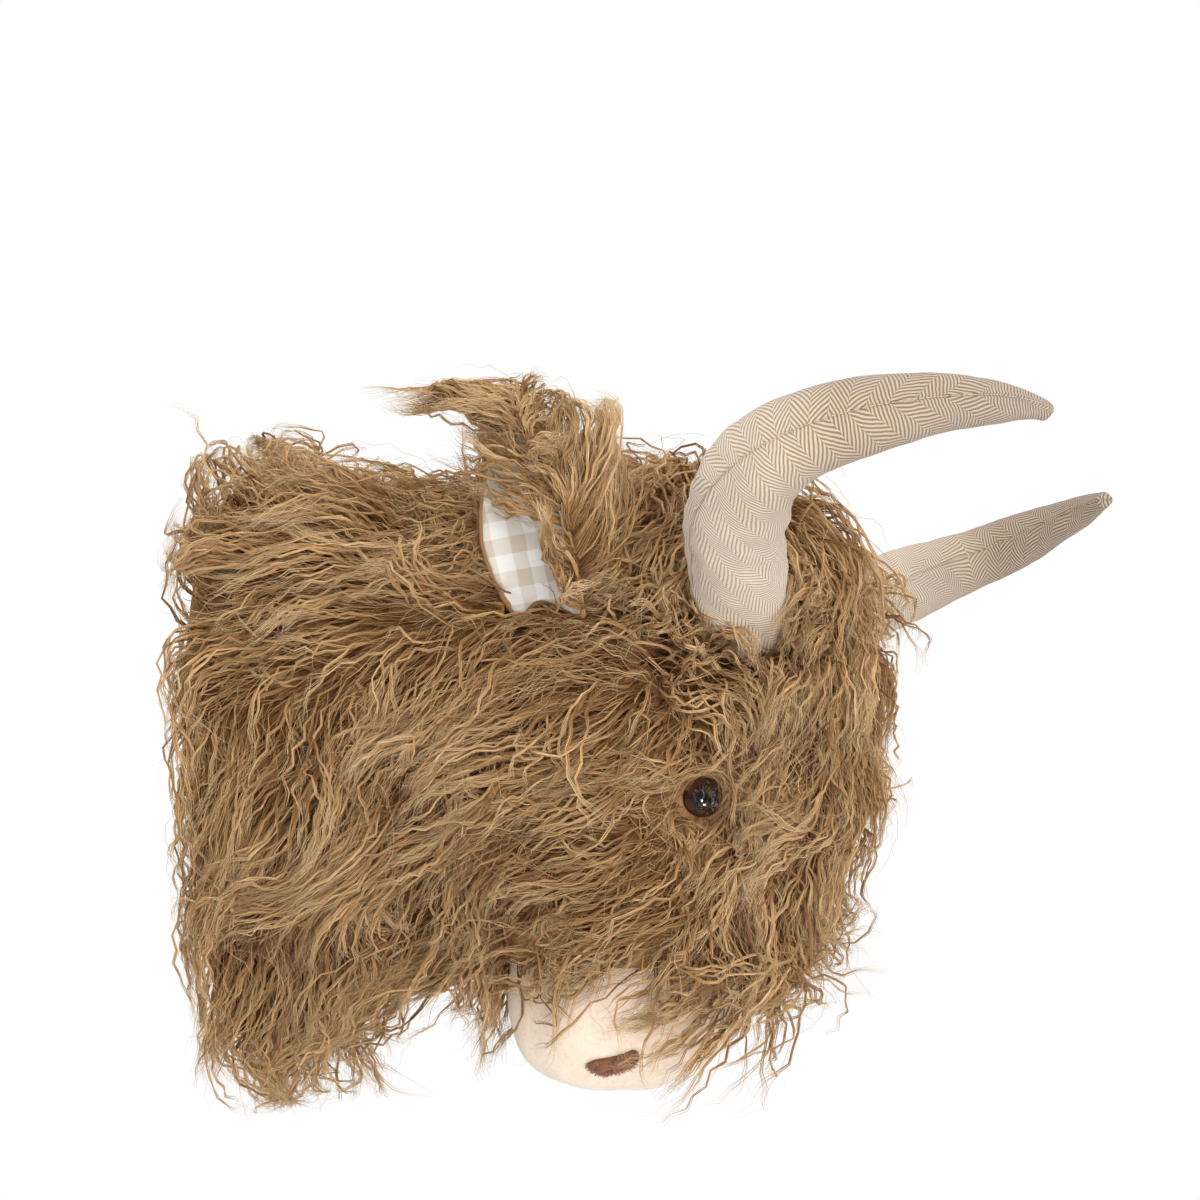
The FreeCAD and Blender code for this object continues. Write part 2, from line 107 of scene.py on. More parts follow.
class Field:
    """Signed distance to the union of some CAD nodes, on a grid."""

    def __init__(self, names, cell=6 * MM, pad=54 * MM):
        boxes = [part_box(n) for n in names]
        self.low = np.min([np.array(b[0]) for b in boxes], 0) - pad
        high = np.max([np.array(b[1]) for b in boxes], 0) + pad
        self.cell = cell
        self.shape = np.ceil((high - self.low) / cell).astype(int) + 1
        self.value = np.full(self.shape, pad)
        for name, (low, high) in zip(names, boxes):
            self.add(node_tree(name), np.array(low) - pad, np.array(high) + pad)

    def add(self, tree, low, high):
        first = np.maximum(((low - self.low) / self.cell).astype(int), 0)
        last = np.minimum(((high - self.low) / self.cell).astype(int) + 1, self.shape - 1)
        find = tree.find_nearest
        for i in range(first[0], last[0] + 1):
            for j in range(first[1], last[1] + 1):
                for k in range(first[2], last[2] + 1):
                    p = Vector((self.low[0] + i * self.cell, self.low[1] + j * self.cell,
                                self.low[2] + k * self.cell))
                    place, normal, _, distance = find(p)
                    if (p - place).dot(normal) < 0:
                        distance = -distance
                    if distance < self.value[i, j, k]:
                        self.value[i, j, k] = distance

    def __call__(self, p):
        asked = (p - self.low) / self.cell
        g = np.clip(asked, 0, self.shape - 1.001)
        base = g.astype(int)
        f = g - base
        total = np.linalg.norm(asked - g, axis=1) * self.cell
        for corner in range(8):
            step = np.array([(corner >> a) & 1 for a in range(3)])
            weight = np.prod(np.where(step, f, 1 - f), axis=1)
            i, j, k = (base + step).T
            total += weight * self.value[i, j, k]
        return total

    def gradient(self, p, step=3 * MM):
        out = np.empty_like(p)
        for axis in range(3):
            d = np.zeros(3)
            d[axis] = step
            out[:, axis] = self(p + d) - self(p - d)
        return unit(out)


def node_tree(name):
    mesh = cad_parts[name].data
    points = [v.co for v in mesh.vertices]
    return BVHTree.FromPolygons(points, [tuple(p.vertices) for p in mesh.polygons])


# ---------------------------------------------------------------- meshes

def new_object(name, verts, faces, uv=None, smooth_shade=True):
    """faces is an integer array, one row per face, or a list of such arrays."""
    groups = [np.asarray(f, np.int32) for f in (faces if isinstance(faces, list) else [faces])]
    groups = [g for g in groups if len(g)]
    mesh = bpy.data.meshes.new(name)
    loops = np.concatenate([g.ravel() for g in groups])
    sizes = np.concatenate([np.full(len(g), g.shape[1]) for g in groups])
    starts = np.concatenate([[0], np.cumsum(sizes)[:-1]])
    mesh.vertices.add(len(verts))
    mesh.vertices.foreach_set("co", np.asarray(verts, np.float32).ravel())
    mesh.loops.add(len(loops))
    mesh.loops.foreach_set("vertex_index", loops.astype(np.int32))
    mesh.polygons.add(len(sizes))
    mesh.polygons.foreach_set("loop_start", starts.astype(np.int32))
    mesh.polygons.foreach_set("use_smooth", np.full(len(sizes), smooth_shade))
    mesh.update(calc_edges=True)
    if uv is not None:
        layer = mesh.uv_layers.new(name=UV_NAME)
        per_loop = np.asarray(uv, np.float32)[loops]
        layer.data.foreach_set("uv", per_loop.ravel())
    mesh.validate()
    obj = bpy.data.objects.new(name, mesh)
    bpy.context.scene.collection.objects.link(obj)
    return obj


def dress(obj, material, node, body="trophy"):
    """Gives a piece its material, the body that it rides on and the CAD node that it replaces."""
    obj.data.materials.append(material)
    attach(obj, body)
    if node:
        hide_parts(node)
    return obj


def mesh_arrays(node):
    """Vertices and triangles of a CAD node."""
    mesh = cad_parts[node].data
    mesh.calc_loop_triangles()
    verts = np.empty(len(mesh.vertices) * 3, np.float32)
    mesh.vertices.foreach_get("co", verts)
    tris = np.empty(len(mesh.loop_triangles) * 3, np.int32)
    mesh.loop_triangles.foreach_get("vertices", tris)
    return verts.reshape(-1, 3).astype(float), tris.reshape(-1, 3)


def weld(verts, tris, tolerance=1e-5):
    """Joins vertices that share a place, so that a split CAD mesh is closed again."""
    key = np.round(verts / tolerance).astype(np.int64)
    _, first, inverse = np.unique(key, axis=0, return_index=True, return_inverse=True)
    inverse = inverse.ravel()
    tris = inverse[tris]
    good = (tris[:, 0] != tris[:, 1]) & (tris[:, 1] != tris[:, 2]) & (tris[:, 0] != tris[:, 2])
    return verts[first], tris[good]


# ---------------------------------------------------------------- materials

class Nodes:
    """A short way to write a node tree."""

    def __init__(self, name):
        self.material = bpy.data.materials.new(name)
        self.material.use_nodes = True
        self.tree = self.material.node_tree
        self.shader = self.tree.nodes["Principled BSDF"]

    def add(self, kind, inputs=(), **settings):
        node = self.tree.nodes.new("ShaderNode" + kind)
        for key, value in settings.items():
            setattr(node, key, value)
        for key, value in dict(inputs).items():
            self.set(node.inputs[key], value)
        return node

    def set(self, socket, value):
        if isinstance(value, bpy.types.NodeSocket):
            self.tree.links.new(value, socket)
        elif isinstance(value, bpy.types.Node):
            self.tree.links.new(value.outputs[0], socket)
        else:
            socket.default_value = value

    def math(self, operation, a, b=0.0, c=0.0):
        return self.add("Math", {0: a, 1: b, 2: c}, operation=operation).outputs[0]

    def sine(self, value, period):
        return self.math("SINE", self.math("MULTIPLY", value, 2 * math.pi / period))

    def ramp(self, value, stops):
        node = self.add("ValToRGB", {"Fac": value})
        elements = node.color_ramp.elements
        while len(elements) < len(stops):
            elements.new(0.5)
        for element, (place, colour) in zip(elements, stops):
            element.position = place
            element.color = colour if len(colour) == 4 else (*colour, 1)
        return node.outputs["Color"]

    def blend(self, factor, a, b, mode="MIX"):
        node = self.add("Mix", data_type="RGBA", blend_type=mode)
        self.set(node.inputs["Factor"], factor)
        self.set(node.inputs[6], a)
        self.set(node.inputs[7], b)
        return node.outputs[2]

    def place(self):
        return self.add("TexCoord").outputs["Object"]

    def uv(self):
        """The cloth's own coordinates, u and v."""
        split = self.add("SeparateXYZ", {0: self.add("UVMap", uv_map=UV_NAME).outputs[0]})
        return split.outputs[0], split.outputs[1]

    def noise(self, coords, scale, detail=4.0, rough=0.55):
        node = self.add("TexNoise", {"Vector": coords, "Scale": scale, "Detail": detail, "Roughness": rough})
        return node.outputs["Fac"]

    def bump(self, height, distance, strength=1.0):
        node = self.add("Bump", {"Height": height, "Distance": distance, "Strength": strength})
        self.set(self.shader.inputs["Normal"], node.outputs["Normal"])

    def finish(self, **values):
        for key, value in values.items():
            self.set(self.shader.inputs[key.replace("_", " ")], value)
        return self.material


def srgb(r, g, b):
    out = []
    for c in (r, g, b):
        c = c / 255
        out.append(c / 12.92 if c <= 0.04045 else ((c + 0.055) / 1.055) ** 2.4)
    return (*out, 1.0)


def fur_material():
    """Colour from the lock's own shade (u) and the way along it (v). Darker towards the root: partly the
    pile's own colour, partly painted shade deep in the pile.
    """
    n = Nodes("fur")
    shade, along = n.uv()
    # darker towards the root: partly the pile's own colour, partly painted shade deep in the pile
    root_shade_and_tone = n.ramp(along, [
        (0.0, srgb(92, 60, 30)), (0.16, srgb(160, 120, 78)), (0.5, srgb(228, 192, 146)),
        (0.85, srgb(246, 220, 180)), (1.0, srgb(255, 238, 208)),
    ])
    lock_tone = n.ramp(shade, [
        (0.0, srgb(170, 150, 126)), (0.35, srgb(222, 211, 196)), (0.7, srgb(246, 240, 231)),
        (1.0, srgb(255, 252, 244)),
    ])
    stretched = n.add("CombineXYZ", {0: n.math("MULTIPLY", shade, 130.0), 1: n.math("MULTIPLY", along, 9.0)})
    fibre = n.noise(stretched.outputs[0], 1.0, 2.0)
    streak = n.ramp(fibre, [
        (0.36, srgb(196, 180, 160)), (0.50, srgb(242, 237, 229)), (0.64, srgb(255, 255, 252)),
    ])
    colour = n.blend(1.0, root_shade_and_tone, lock_tone, "MULTIPLY")
    colour = n.blend(1.0, colour, streak, "MULTIPLY")
    return n.finish(Base_Color=colour, Roughness=0.75, Specular_IOR_Level=0.2)


def cloth_coords(n, sheet):
    """Millimetres along a flat cloth whose UV square is sheet metres wide."""
    u, v = n.uv()
    return n.math("MULTIPLY", u, sheet / MM), n.math("MULTIPLY", v, sheet / MM)


HORN_SHEET = 0.32     # metres of flat cloth that the horn UV square covers
HERRING_WIDTH = 7.4   # mm, one column of the herringbone
HERRING_PITCH = 2.9   # mm from line to line along a column
HERRING_SLOPE = 1.45
HORN_YARN = 0.75      # mm from one yarn to the next
SHADE_PAINT_FROM, SHADE_PAINT_TO = -0.295, -0.345     # painted shade: between these places along y the horns' outer parts turn darker


def horn_material():
    """Herringbone: diagonal twill lines that turn back on themselves stripe by stripe."""
    n = Nodes("horn_herringbone")
    u, v = cloth_coords(n, HORN_SHEET)
    wobble = n.noise(n.add("CombineXYZ", {0: u, 1: v}).outputs[0], 0.05, 2.0)
    across = n.math("DIVIDE", n.math("MULTIPLY_ADD", wobble, 4.0, u), HERRING_WIDTH)
    column = n.math("FLOOR", across)
    odd = n.math("MODULO", column, 2.0)
    lean = n.math("MULTIPLY_ADD", n.math("ABSOLUTE", odd), 2.0, -1.0)
    inside = n.math("SUBTRACT", n.math("FRACT", across), 0.5)
    climb = n.math("MULTIPLY", n.math("MULTIPLY", inside, lean), HERRING_WIDTH * HERRING_SLOPE)
    line = n.math("ADD", n.math("ADD", climb, v), n.math("MULTIPLY", column, HERRING_PITCH * 0.5))
    wave = n.sine(line, HERRING_PITCH)
    tan = n.math("MULTIPLY_ADD", wave, 0.5, 0.5)
    weave = n.math("MULTIPLY", *(n.sine(axis, HORN_YARN) for axis in (u, v)))
    mask = n.math("MULTIPLY_ADD", weave, 0.16, tan)
    colour = n.ramp(mask, [
        (0.42, srgb(228, 217, 204)), (0.60, srgb(208, 189, 165)), (0.84, srgb(182, 150, 112)),
    ])
    # painted shade: a darker copy of the herringbone's colours, for the horns' outer parts
    painted_shade_tone = n.ramp(mask, [
        (0.34, srgb(184, 174, 161)), (0.50, srgb(160, 139, 114)), (0.70, srgb(132, 99, 66)),
    ])
    cloudy = n.noise(n.add("CombineXYZ", {0: u, 1: v}).outputs[0], 0.035, 3.0)
    place = n.add("SeparateXYZ", {0: n.place()}).outputs[1]
    # how much of the painted shade each place gets, more towards the horns' outer parts
    outer = n.add("MapRange", {0: place, 1: SHADE_PAINT_FROM, 2: SHADE_PAINT_TO, 3: 0.0, 4: 1.0}).outputs[0]
    colour = n.blend(outer, colour, painted_shade_tone)
    colour = n.blend(n.math("MULTIPLY", cloudy, 0.16), colour, srgb(206, 186, 162))
    n.bump(n.math("MULTIPLY_ADD", weave, 0.35, n.math("MULTIPLY", tan, -0.6)), 0.35 * MM, 0.7)
    return n.finish(Base_Color=colour, Roughness=0.86, Specular_IOR_Level=0.2, Sheen_Weight=0.15)


def thread_material(name, colour):
    n = Nodes(name)
    coords = n.place()
    tone = n.noise(coords, 900.0, 2.0)
    shade = n.blend(tone, tuple(c * 0.8 for c in colour[:3]) + (1,), colour)
    return n.finish(Base_Color=shade, Roughness=0.8)


GINGHAM_SHEET = 0.13      # metres of flat cloth that the gingham UV square covers
GINGHAM_CHECK = 7.8       # mm, one check
GINGHAM_EDGE = 0.05       # how soft a check's edge is, as a share of the check
YARN = 0.42               # mm from one yarn to the next


def gingham_material():
    n = Nodes("gingham")
    u, v = cloth_coords(n, GINGHAM_SHEET)
    bands = []
    for axis in (u, v):
        phase = n.math("PINGPONG", axis, GINGHAM_CHECK)
        wave = n.math("DIVIDE", phase, GINGHAM_CHECK)
        soft = n.add("MapRange", {0: wave, 1: 0.5 - GINGHAM_EDGE, 2: 0.5 + GINGHAM_EDGE, 3: 0.0, 4: 1.0})
        bands.append(soft.outputs[0])
    total = n.math("MULTIPLY", n.math("ADD", bands[0], bands[1]), 0.5)
    colour = n.ramp(total, [
        (0.0, srgb(250, 248, 244)), (0.5, srgb(231, 223, 213)), (1.0, srgb(208, 195, 180)),
    ])
    yarn = n.math("MULTIPLY", *(n.sine(axis, YARN) for axis in (u, v)))
    drawn = n.add("CombineXYZ", {0: n.math("MULTIPLY", u, 0.15), 1: n.math("MULTIPLY", v, 2.0)})
    slub = n.noise(drawn.outputs[0], 1.0, 3.0)
    colour = n.blend(n.math("MULTIPLY", slub, 0.25), colour, srgb(205, 196, 184))
    n.bump(yarn, 0.12 * MM, 0.5)
    return n.finish(Base_Color=colour, Roughness=0.88, Specular_IOR_Level=0.2)


def suede_material(name, light, dark, grain=420.0, bump=0.25):
    n = Nodes(name)
    coords = n.place()
    cloud = n.noise(coords, 55.0, 4.0, 0.6)
    nap = n.noise(coords, grain, 6.0, 0.7)
    tone = n.math("MULTIPLY_ADD", nap, 0.65, n.math("MULTIPLY", cloud, 0.45))
    colour = n.ramp(tone, [(0.30, dark), (0.52, light), (0.75, tuple(min(1, c * 1.12) for c in light[:3]))])
    n.bump(n.math("MULTIPLY_ADD", nap, 1.0, n.math("MULTIPLY", cloud, 0.5)), bump * MM, 0.8)
    return n.finish(Base_Color=colour, Roughness=0.92, Specular_IOR_Level=0.15,
                    Sheen_Weight=0.35, Sheen_Roughness=0.4)


def nap_material():
    """Brushed fibres: darker at the root, some much lighter."""
    n = Nodes("nostril_nap")
    shade, along = n.uv()
    tone = n.math("MULTIPLY_ADD", shade, 0.75, n.math("MULTIPLY", along, 0.25))
    colour = n.ramp(tone, [(0.1, srgb(78, 45, 24)), (0.6, srgb(136, 89, 56)), (0.95, srgb(196, 158, 122))])
    return n.finish(Base_Color=colour, Roughness=0.85)


def board_material():
    n = Nodes("fibreboard")
    coords = n.place()
    fibre = n.noise(coords, 700.0, 5.0, 0.7)
    patch = n.noise(coords, 30.0, 3.0)
    colour = n.ramp(n.math("MULTIPLY_ADD", fibre, 0.7, n.math("MULTIPLY", patch, 0.3)),
                    [(0.3, srgb(146, 113, 78)), (0.55, srgb(184, 150, 110)), (0.75, srgb(206, 176, 136))])
    n.bump(fibre, 0.15 * MM, 0.6)
    return n.finish(Base_Color=colour, Roughness=0.8, Specular_IOR_Level=0.25)


def felt_material():
    n = Nodes("felt")
    coords = n.place()
    fibre = n.add("TexVoronoi", {"Vector": coords, "Scale": 900.0}, feature="F1").outputs["Distance"]
    haze = n.noise(coords, 260.0, 6.0, 0.75)
    patch = n.noise(coords, 14.0, 3.0)
    tone = n.math("MULTIPLY_ADD", haze, 0.7, n.math("MULTIPLY", patch, 0.35))
    colour = n.ramp(tone, [
        (0.3, srgb(132, 110, 84)), (0.52, srgb(164, 141, 112)), (0.75, srgb(190, 168, 140)),
    ])
    n.bump(n.math("ADD", haze, fibre), 0.3 * MM, 0.8)
    return n.finish(Base_Color=colour, Roughness=0.95, Specular_IOR_Level=0.1, Sheen_Weight=0.3)


def metal_material(name, tint=(214, 214, 210), rough=0.32):
    n = Nodes(name)
    coords = n.place()
    stretched = n.add("VectorMath", {0: coords, 1: (2600.0, 300.0, 300.0)}, operation="MULTIPLY").outputs[0]
    brushed = n.noise(stretched, 1.0, 3.0)
    patch = n.noise(coords, 240.0, 3.0)
    colour = n.blend(patch, srgb(*tint), srgb(*(int(c * 0.82) for c in tint)))
    n.bump(brushed, 0.03 * MM, 0.4)
    uneven = n.math("MULTIPLY_ADD", brushed, 0.2, rough - 0.08)
    return n.finish(Base_Color=colour, Metallic=1.0, Roughness=uneven)


def filling_material():
    n = Nodes("polyester_filling")
    coords = n.place()
    puff = n.noise(coords, 90.0, 8.0, 0.75)
    colour = n.ramp(puff, [(0.3, srgb(226, 224, 218)), (0.7, srgb(250, 249, 246))])
    n.bump(puff, 3 * MM, 0.8)
    return n.finish(Base_Color=colour, Roughness=0.95, Sheen_Weight=0.3)


def plastic_material(name, light, dark, rough=0.15, shine=0.5):
    n = Nodes(name)
    coords = n.place()
    tone = n.noise(coords, 420.0, 4.0)
    colour = n.blend(tone, dark, light)
    return n.finish(Base_Color=colour, Roughness=rough, Specular_IOR_Level=shine)


def iris_material():
    """Painted amber-brown ring, mottled with noise."""
    n = Nodes("eye_iris")
    coords = n.place()
    streak = n.noise(coords, 700.0, 4.0)
    colour = n.ramp(streak, [(0.3, srgb(30, 15, 6)), (0.55, srgb(58, 30, 12)), (0.8, srgb(92, 52, 22))])
    return n.finish(Base_Color=colour, Roughness=0.5, Specular_IOR_Level=0.05)


def dome_material():
    n = Nodes("eye_clear")
    coords = n.place()
    haze = n.noise(coords, 60.0, 2.0)
    rough = n.math("MULTIPLY_ADD", haze, 0.01, 0.0)
    return n.finish(Base_Color=(1, 1, 1, 1), Roughness=rough, Transmission_Weight=1.0, IOR=1.3)


# ---------------------------------------------------------------- fur

BODY = Field(["neck_stuffing", "head_stuffing", "muzzle_stuffing"], cell=6 * MM)


def bezier(points, t):
    n = len(points) - 1
    t = np.asarray(t, float)[:, None]
    return sum(math.comb(n, i) * (1 - t) ** (n - i) * t ** i * points[i] for i in range(n + 1))


HORN_T = np.linspace(0, 1, 61)
HORN_POINTS = bezier(HORN_LINE, HORN_T)
HORN_R = np.interp(HORN_T, HORN_RADII[:, 0], HORN_RADII[:, 1]) * MM


def push_off_horns(p, margin=1.5 * MM):
    """Moves points out of both horns."""
    out = p.copy()
    for side in (1, -1):
        line = HORN_POINTS * (side, 1, 1)
        near = np.abs(out - line[:20].mean(0)).max(1) < 0.11
        if not near.any():
            continue
        q = out[near]
        gap = q[:, None, :] - line[None]
        distance = np.linalg.norm(gap, axis=2) - HORN_R
        best = distance.argmin(1)
        rows = np.arange(len(q))
        depth = margin - distance[rows, best]
        direction = unit(gap[rows, best])
        q = q + direction * np.maximum(depth, 0)[:, None]
        out[near] = q
    return out


def outer_samples(node, count, field, low, high, rng, extra=None):
    """Random roots on the outer face of a cloth panel, and the area that they are drawn from."""
    verts, tris = mesh_arrays(node)
    a, b, c = (verts[tris[:, i]] for i in range(3))
    normal = np.cross(b - a, c - a)
    area = np.linalg.norm(normal, axis=1) / 2
    centre = (a + b + c) / 3
    normal = unit(normal)
    outwards = field.gradient(centre)
    distance = field(centre)
    good = ((normal * outwards).sum(1) > 0.3) & (distance > low) & (distance < high)
    if extra is not None:
        good &= extra(centre)
    weight = np.where(good, area, 0)
    total = weight.sum()
    if not count or not total:
        return np.empty((0, 3)), total
    picks = rng.choice(len(tris), size=count, p=weight / total)
    r1 = np.sqrt(rng.random(count))[:, None]
    r2 = rng.random(count)[:, None]
    p = (1 - r1) * a[picks] + r1 * (1 - r2) * b[picks] + r1 * r2 * c[picks]
    return p, total


def tangent_to(v, normal):
    """The part of v that lies along the surface."""
    return v - (v * normal).sum(1, keepdims=True) * normal


def mirror(p):
    """What turns each point into its twin on the left, and a left point into one on its own side."""
    return np.concatenate([np.sign(p[:, :1] + 1e-6), np.ones((len(p), 2))], 1)


def eye_offset(p):
    """From the nearer eye to each point."""
    return p - EYE * mirror(p)


BROW = np.array((0, 2.0, 30.0)) * MM      # from an eye to where the pile parts above it


def body_flow(p, normal, stray=0.0):
    """Which way the pile lies, at each point of the neck and head. stray moves the parting at the brow."""
    x, y, z = p.T
    neck = smooth(-0.160, -0.130, y)
    high = smooth(-0.005, 0.065, z)
    wall = smooth(-0.055, -0.008, y)
    outward = unit(np.stack([x, np.zeros_like(x), z], 1))
    under_jaw = smooth(-0.05, -0.11, y) * smooth(-0.02, -0.08, z)
    neck_dir = np.stack([np.zeros_like(x), mix(0.40, 1.15, high) + 0.7 * under_jaw,
                         mix(-1.0, -0.17, high) + 0.35 * under_jaw], 1)
    neck_dir[:, 1] *= 1 - 0.6 * wall
    neck_dir += outward * (wall * mix(0.50, 1.05, high))[:, None]

    brow = eye_offset(p) - BROW
    back = smooth(-0.016, 0.018, brow[:, 1] + stray)
    below = smooth(0.005, -0.070, brow[:, 2])
    parting = np.exp(-((brow[:, 1] + stray) / 0.012) ** 2)
    head_dir = np.stack([
        np.zeros_like(x),
        mix(-0.75, 1.0, back),
        -mix(mix(0.45, 1.05, below), mix(0.12, 0.28, below), back) - 0.8 * parting,
    ], 1)
    front = smooth(-0.262, -0.284, y)
    down_front = np.stack([np.sign(x) * 0.42, np.full_like(x, -0.12), np.full_like(x, -0.8)], 1)
    head_dir = mix(head_dir, down_front, front[:, None])
    crown = smooth(0.062, 0.100, z)
    from_crown = p - np.array([0, -0.238, 0.0])
    crown_dir = unit(np.stack([from_crown[:, 0], from_crown[:, 1] * 1.3, np.full_like(x, -0.012)], 1))
    head_dir = mix(unit(head_dir), crown_dir, crown[:, None])
    from_eye = eye_offset(p)
    pull = np.exp(-(np.linalg.norm(from_eye, axis=1) / 0.018) ** 2)
    head_dir += unit(from_eye) * (1.3 * pull)[:, None]
    flow = neck[:, None] * unit(neck_dir) + (1 - neck)[:, None] * unit(head_dir)
    return unit(tangent_to(flow, normal) + 1e-9)


def horn_reach(p):
    """Distance from the nearer horn's root."""
    return np.linalg.norm(p * mirror(p) - HORN_LINE[0] - np.array([0.014, 0, 0]), axis=1)


def eye_reach(p):
    return np.linalg.norm(eye_offset(p), axis=1)


def beside_eye(p):
    """How far points are from the nearer eye, across the way that it looks."""
    offset = eye_offset(p)
    facing = mirror(p) * EYE_AXIS
    return offset - (offset * facing).sum(1, keepdims=True) * facing


def off_the_eyes(p, gap):
    """Moves points that lie over an eye out to its rim."""
    lateral = beside_eye(p)
    reach = np.linalg.norm(lateral, axis=1)
    wide = gap * EYE_PARTING
    eased = gap + (wide - gap) * reach / wide
    move = np.where((eye_reach(p) < EYE_REGION) & (reach < wide), eased - reach, 0)
    return p + unit(lateral) * move[:, None]


Y, Z = 1, 2
PILE_LENGTHS = (      # metres, and where: along each axis, where it starts and where it is full
    (0.070, (Y, -0.20, -0.25)),
    (0.060, (Y, -0.26, -0.30), (Z, 0.09, 0.03)),
    (0.050, (Y, -0.265, -0.285), (Z, -0.02, -0.06)),
    (0.080, (Z, -0.02, -0.08), (Y, -0.14, -0.17)),
    (0.064, (Y, -0.040, -0.005), (Z, -0.06, 0.0)),
    (0.096, (Y, -0.080, -0.030), (Z, -0.05, -0.10)),
    (0.058, (Z, -0.080, -0.105), (Y, -0.11, -0.13), (Y, -0.20, -0.175)),
    (0.076, (Z, -0.050, -0.075), (Y, -0.165, -0.185), (Y, -0.26, -0.24)),
)
PILE_LENGTH = 0.078
HORN_ROOT_PILE = 0.048


def body_length(p, rng):
    """Pile length in metres. A later zone lies over an earlier one."""
    length = np.full(len(p), PILE_LENGTH)
    for wanted, *limits in PILE_LENGTHS:
        share = math.prod(smooth(start, full, p[:, axis]) for axis, start, full in limits)
        length = mix(length, wanted, share)
    length = mix(HORN_ROOT_PILE, length, smooth(0.025, 0.060, horn_reach(p)))
    length *= mix(0.42, 1.0, smooth(0.009, 0.026, eye_reach(p)))
    return length * rng.uniform(0.62, 1.22, len(p))


COARSE = Waves(70 * MM, seed=3)
MEDIUM = Waves(26 * MM, seed=5)
FINE = Waves(11 * MM, seed=7)


def tuft_cells(roots, spacing):
    cells = np.floor(roots / spacing + MEDIUM(roots) * 0.4).astype(np.int64)
    _, group = np.unique(cells, axis=0, return_inverse=True)
    return group.ravel()


def soft_limit(value, low, high, knee):
    """Eases a coordinate to a stop between low and high."""
    top = high - knee
    bottom = low + knee
    over = np.maximum(value - top, 0)
    under = np.maximum(bottom - value, 0)
    value = np.where(over > 0, top + knee * np.tanh(over / knee), value)
    return np.where(under > 0, bottom - knee * np.tanh(under / knee), value)


def relaxed(paths, passes=2):
    """Rounds off sharp turns."""
    for _ in range(passes):
        paths[:, 1:-1] = (paths[:, :-2] + 2 * paths[:, 1:-1] + paths[:, 2:]) / 4
    return paths


LONGEST_STEP = 12.5 * MM
STEP_RATIO = 2.4          # a step may be this many times as long as the lock's usual one
SHARPEST_TURN = -0.1      # the cosine between one step and the next


def untangled(paths, *others):
    """Leaves out locks that something has stretched or kinked."""
    moves = np.diff(paths, axis=1)
    pieces = np.linalg.norm(moves, axis=2)
    ways = unit(moves)
    bend = (ways[:, 1:] * ways[:, :-1]).sum(2).min(1)
    longest = np.minimum(np.median(pieces, axis=1) * STEP_RATIO, LONGEST_STEP)
    good = (pieces.max(1) < longest) & (bend > SHARPEST_TURN)
    return (paths[good], *(o[good] for o in others))


def shortened(paths, last):
    """Each path stopped at its own last point."""
    spot = np.linspace(0, 1, paths.shape[1])[None] * last[:, None]
    low = np.minimum(spot.astype(int), paths.shape[1] - 2)
    share = (spot - low)[..., None]
    low = low[..., None]
    return mix(np.take_along_axis(paths, low, 1), np.take_along_axis(paths, low + 1, 1), share)


EAR_OPEN = unit(np.array((0.94, -0.33, -0.08)))
EAR_BASE = 0.12           # the share of an ear's height that the head's own hair may hide
EAR_TOP = 0.62            # above this the ear's own hair hides the lining anyway


def opened(paths, *others):
    """Combs the face's hair away from the eyes, and ends it short of them and of the ears' linings."""
    shape = paths.shape
    gap = EYE_CLEAR * (1.06 + 0.16 * np.clip(FINE(paths[:, 0])[:, 0], -1, 1))
    p = off_the_eyes(paths.reshape(-1, 3), np.repeat(gap, shape[1]))
    paths = p.reshape(shape)
    left = p * mirror(p) - EAR_ROOT
    ahead = (left @ EAR_FACE) / (EAR_OPEN @ EAR_FACE)
    spot = left - EAR_OPEN * ahead[:, None]
    across = spot @ EAR_ACROSS / EAR_HALF_WIDTH
    height = spot @ EAR_UP / EAR_LENGTH
    over = (ahead > 1 * MM) & (ahead < 70 * MM) & (np.abs(across) < 0.92)
    over &= (height > EAR_BASE) & (height < EAR_TOP)
    halfway = ((paths[:, 1:] + paths[:, :-1]) / 2).reshape(-1, 3)
    crossing = np.linalg.norm(beside_eye(halfway), axis=1) < EYE_CLEAR * 0.93
    crossing &= eye_reach(halfway) < EYE_REGION
    blocked = over.reshape(shape[:2])
    blocked[:, 1:] |= crossing.reshape(len(paths), -1)
    last = np.where(blocked.any(1), blocked.argmax(1) - 1, shape[1] - 1)
    good = last > 2
    paths = shortened(paths[good], last[good])
    return untangled(paths, *(o[good] for o in others))


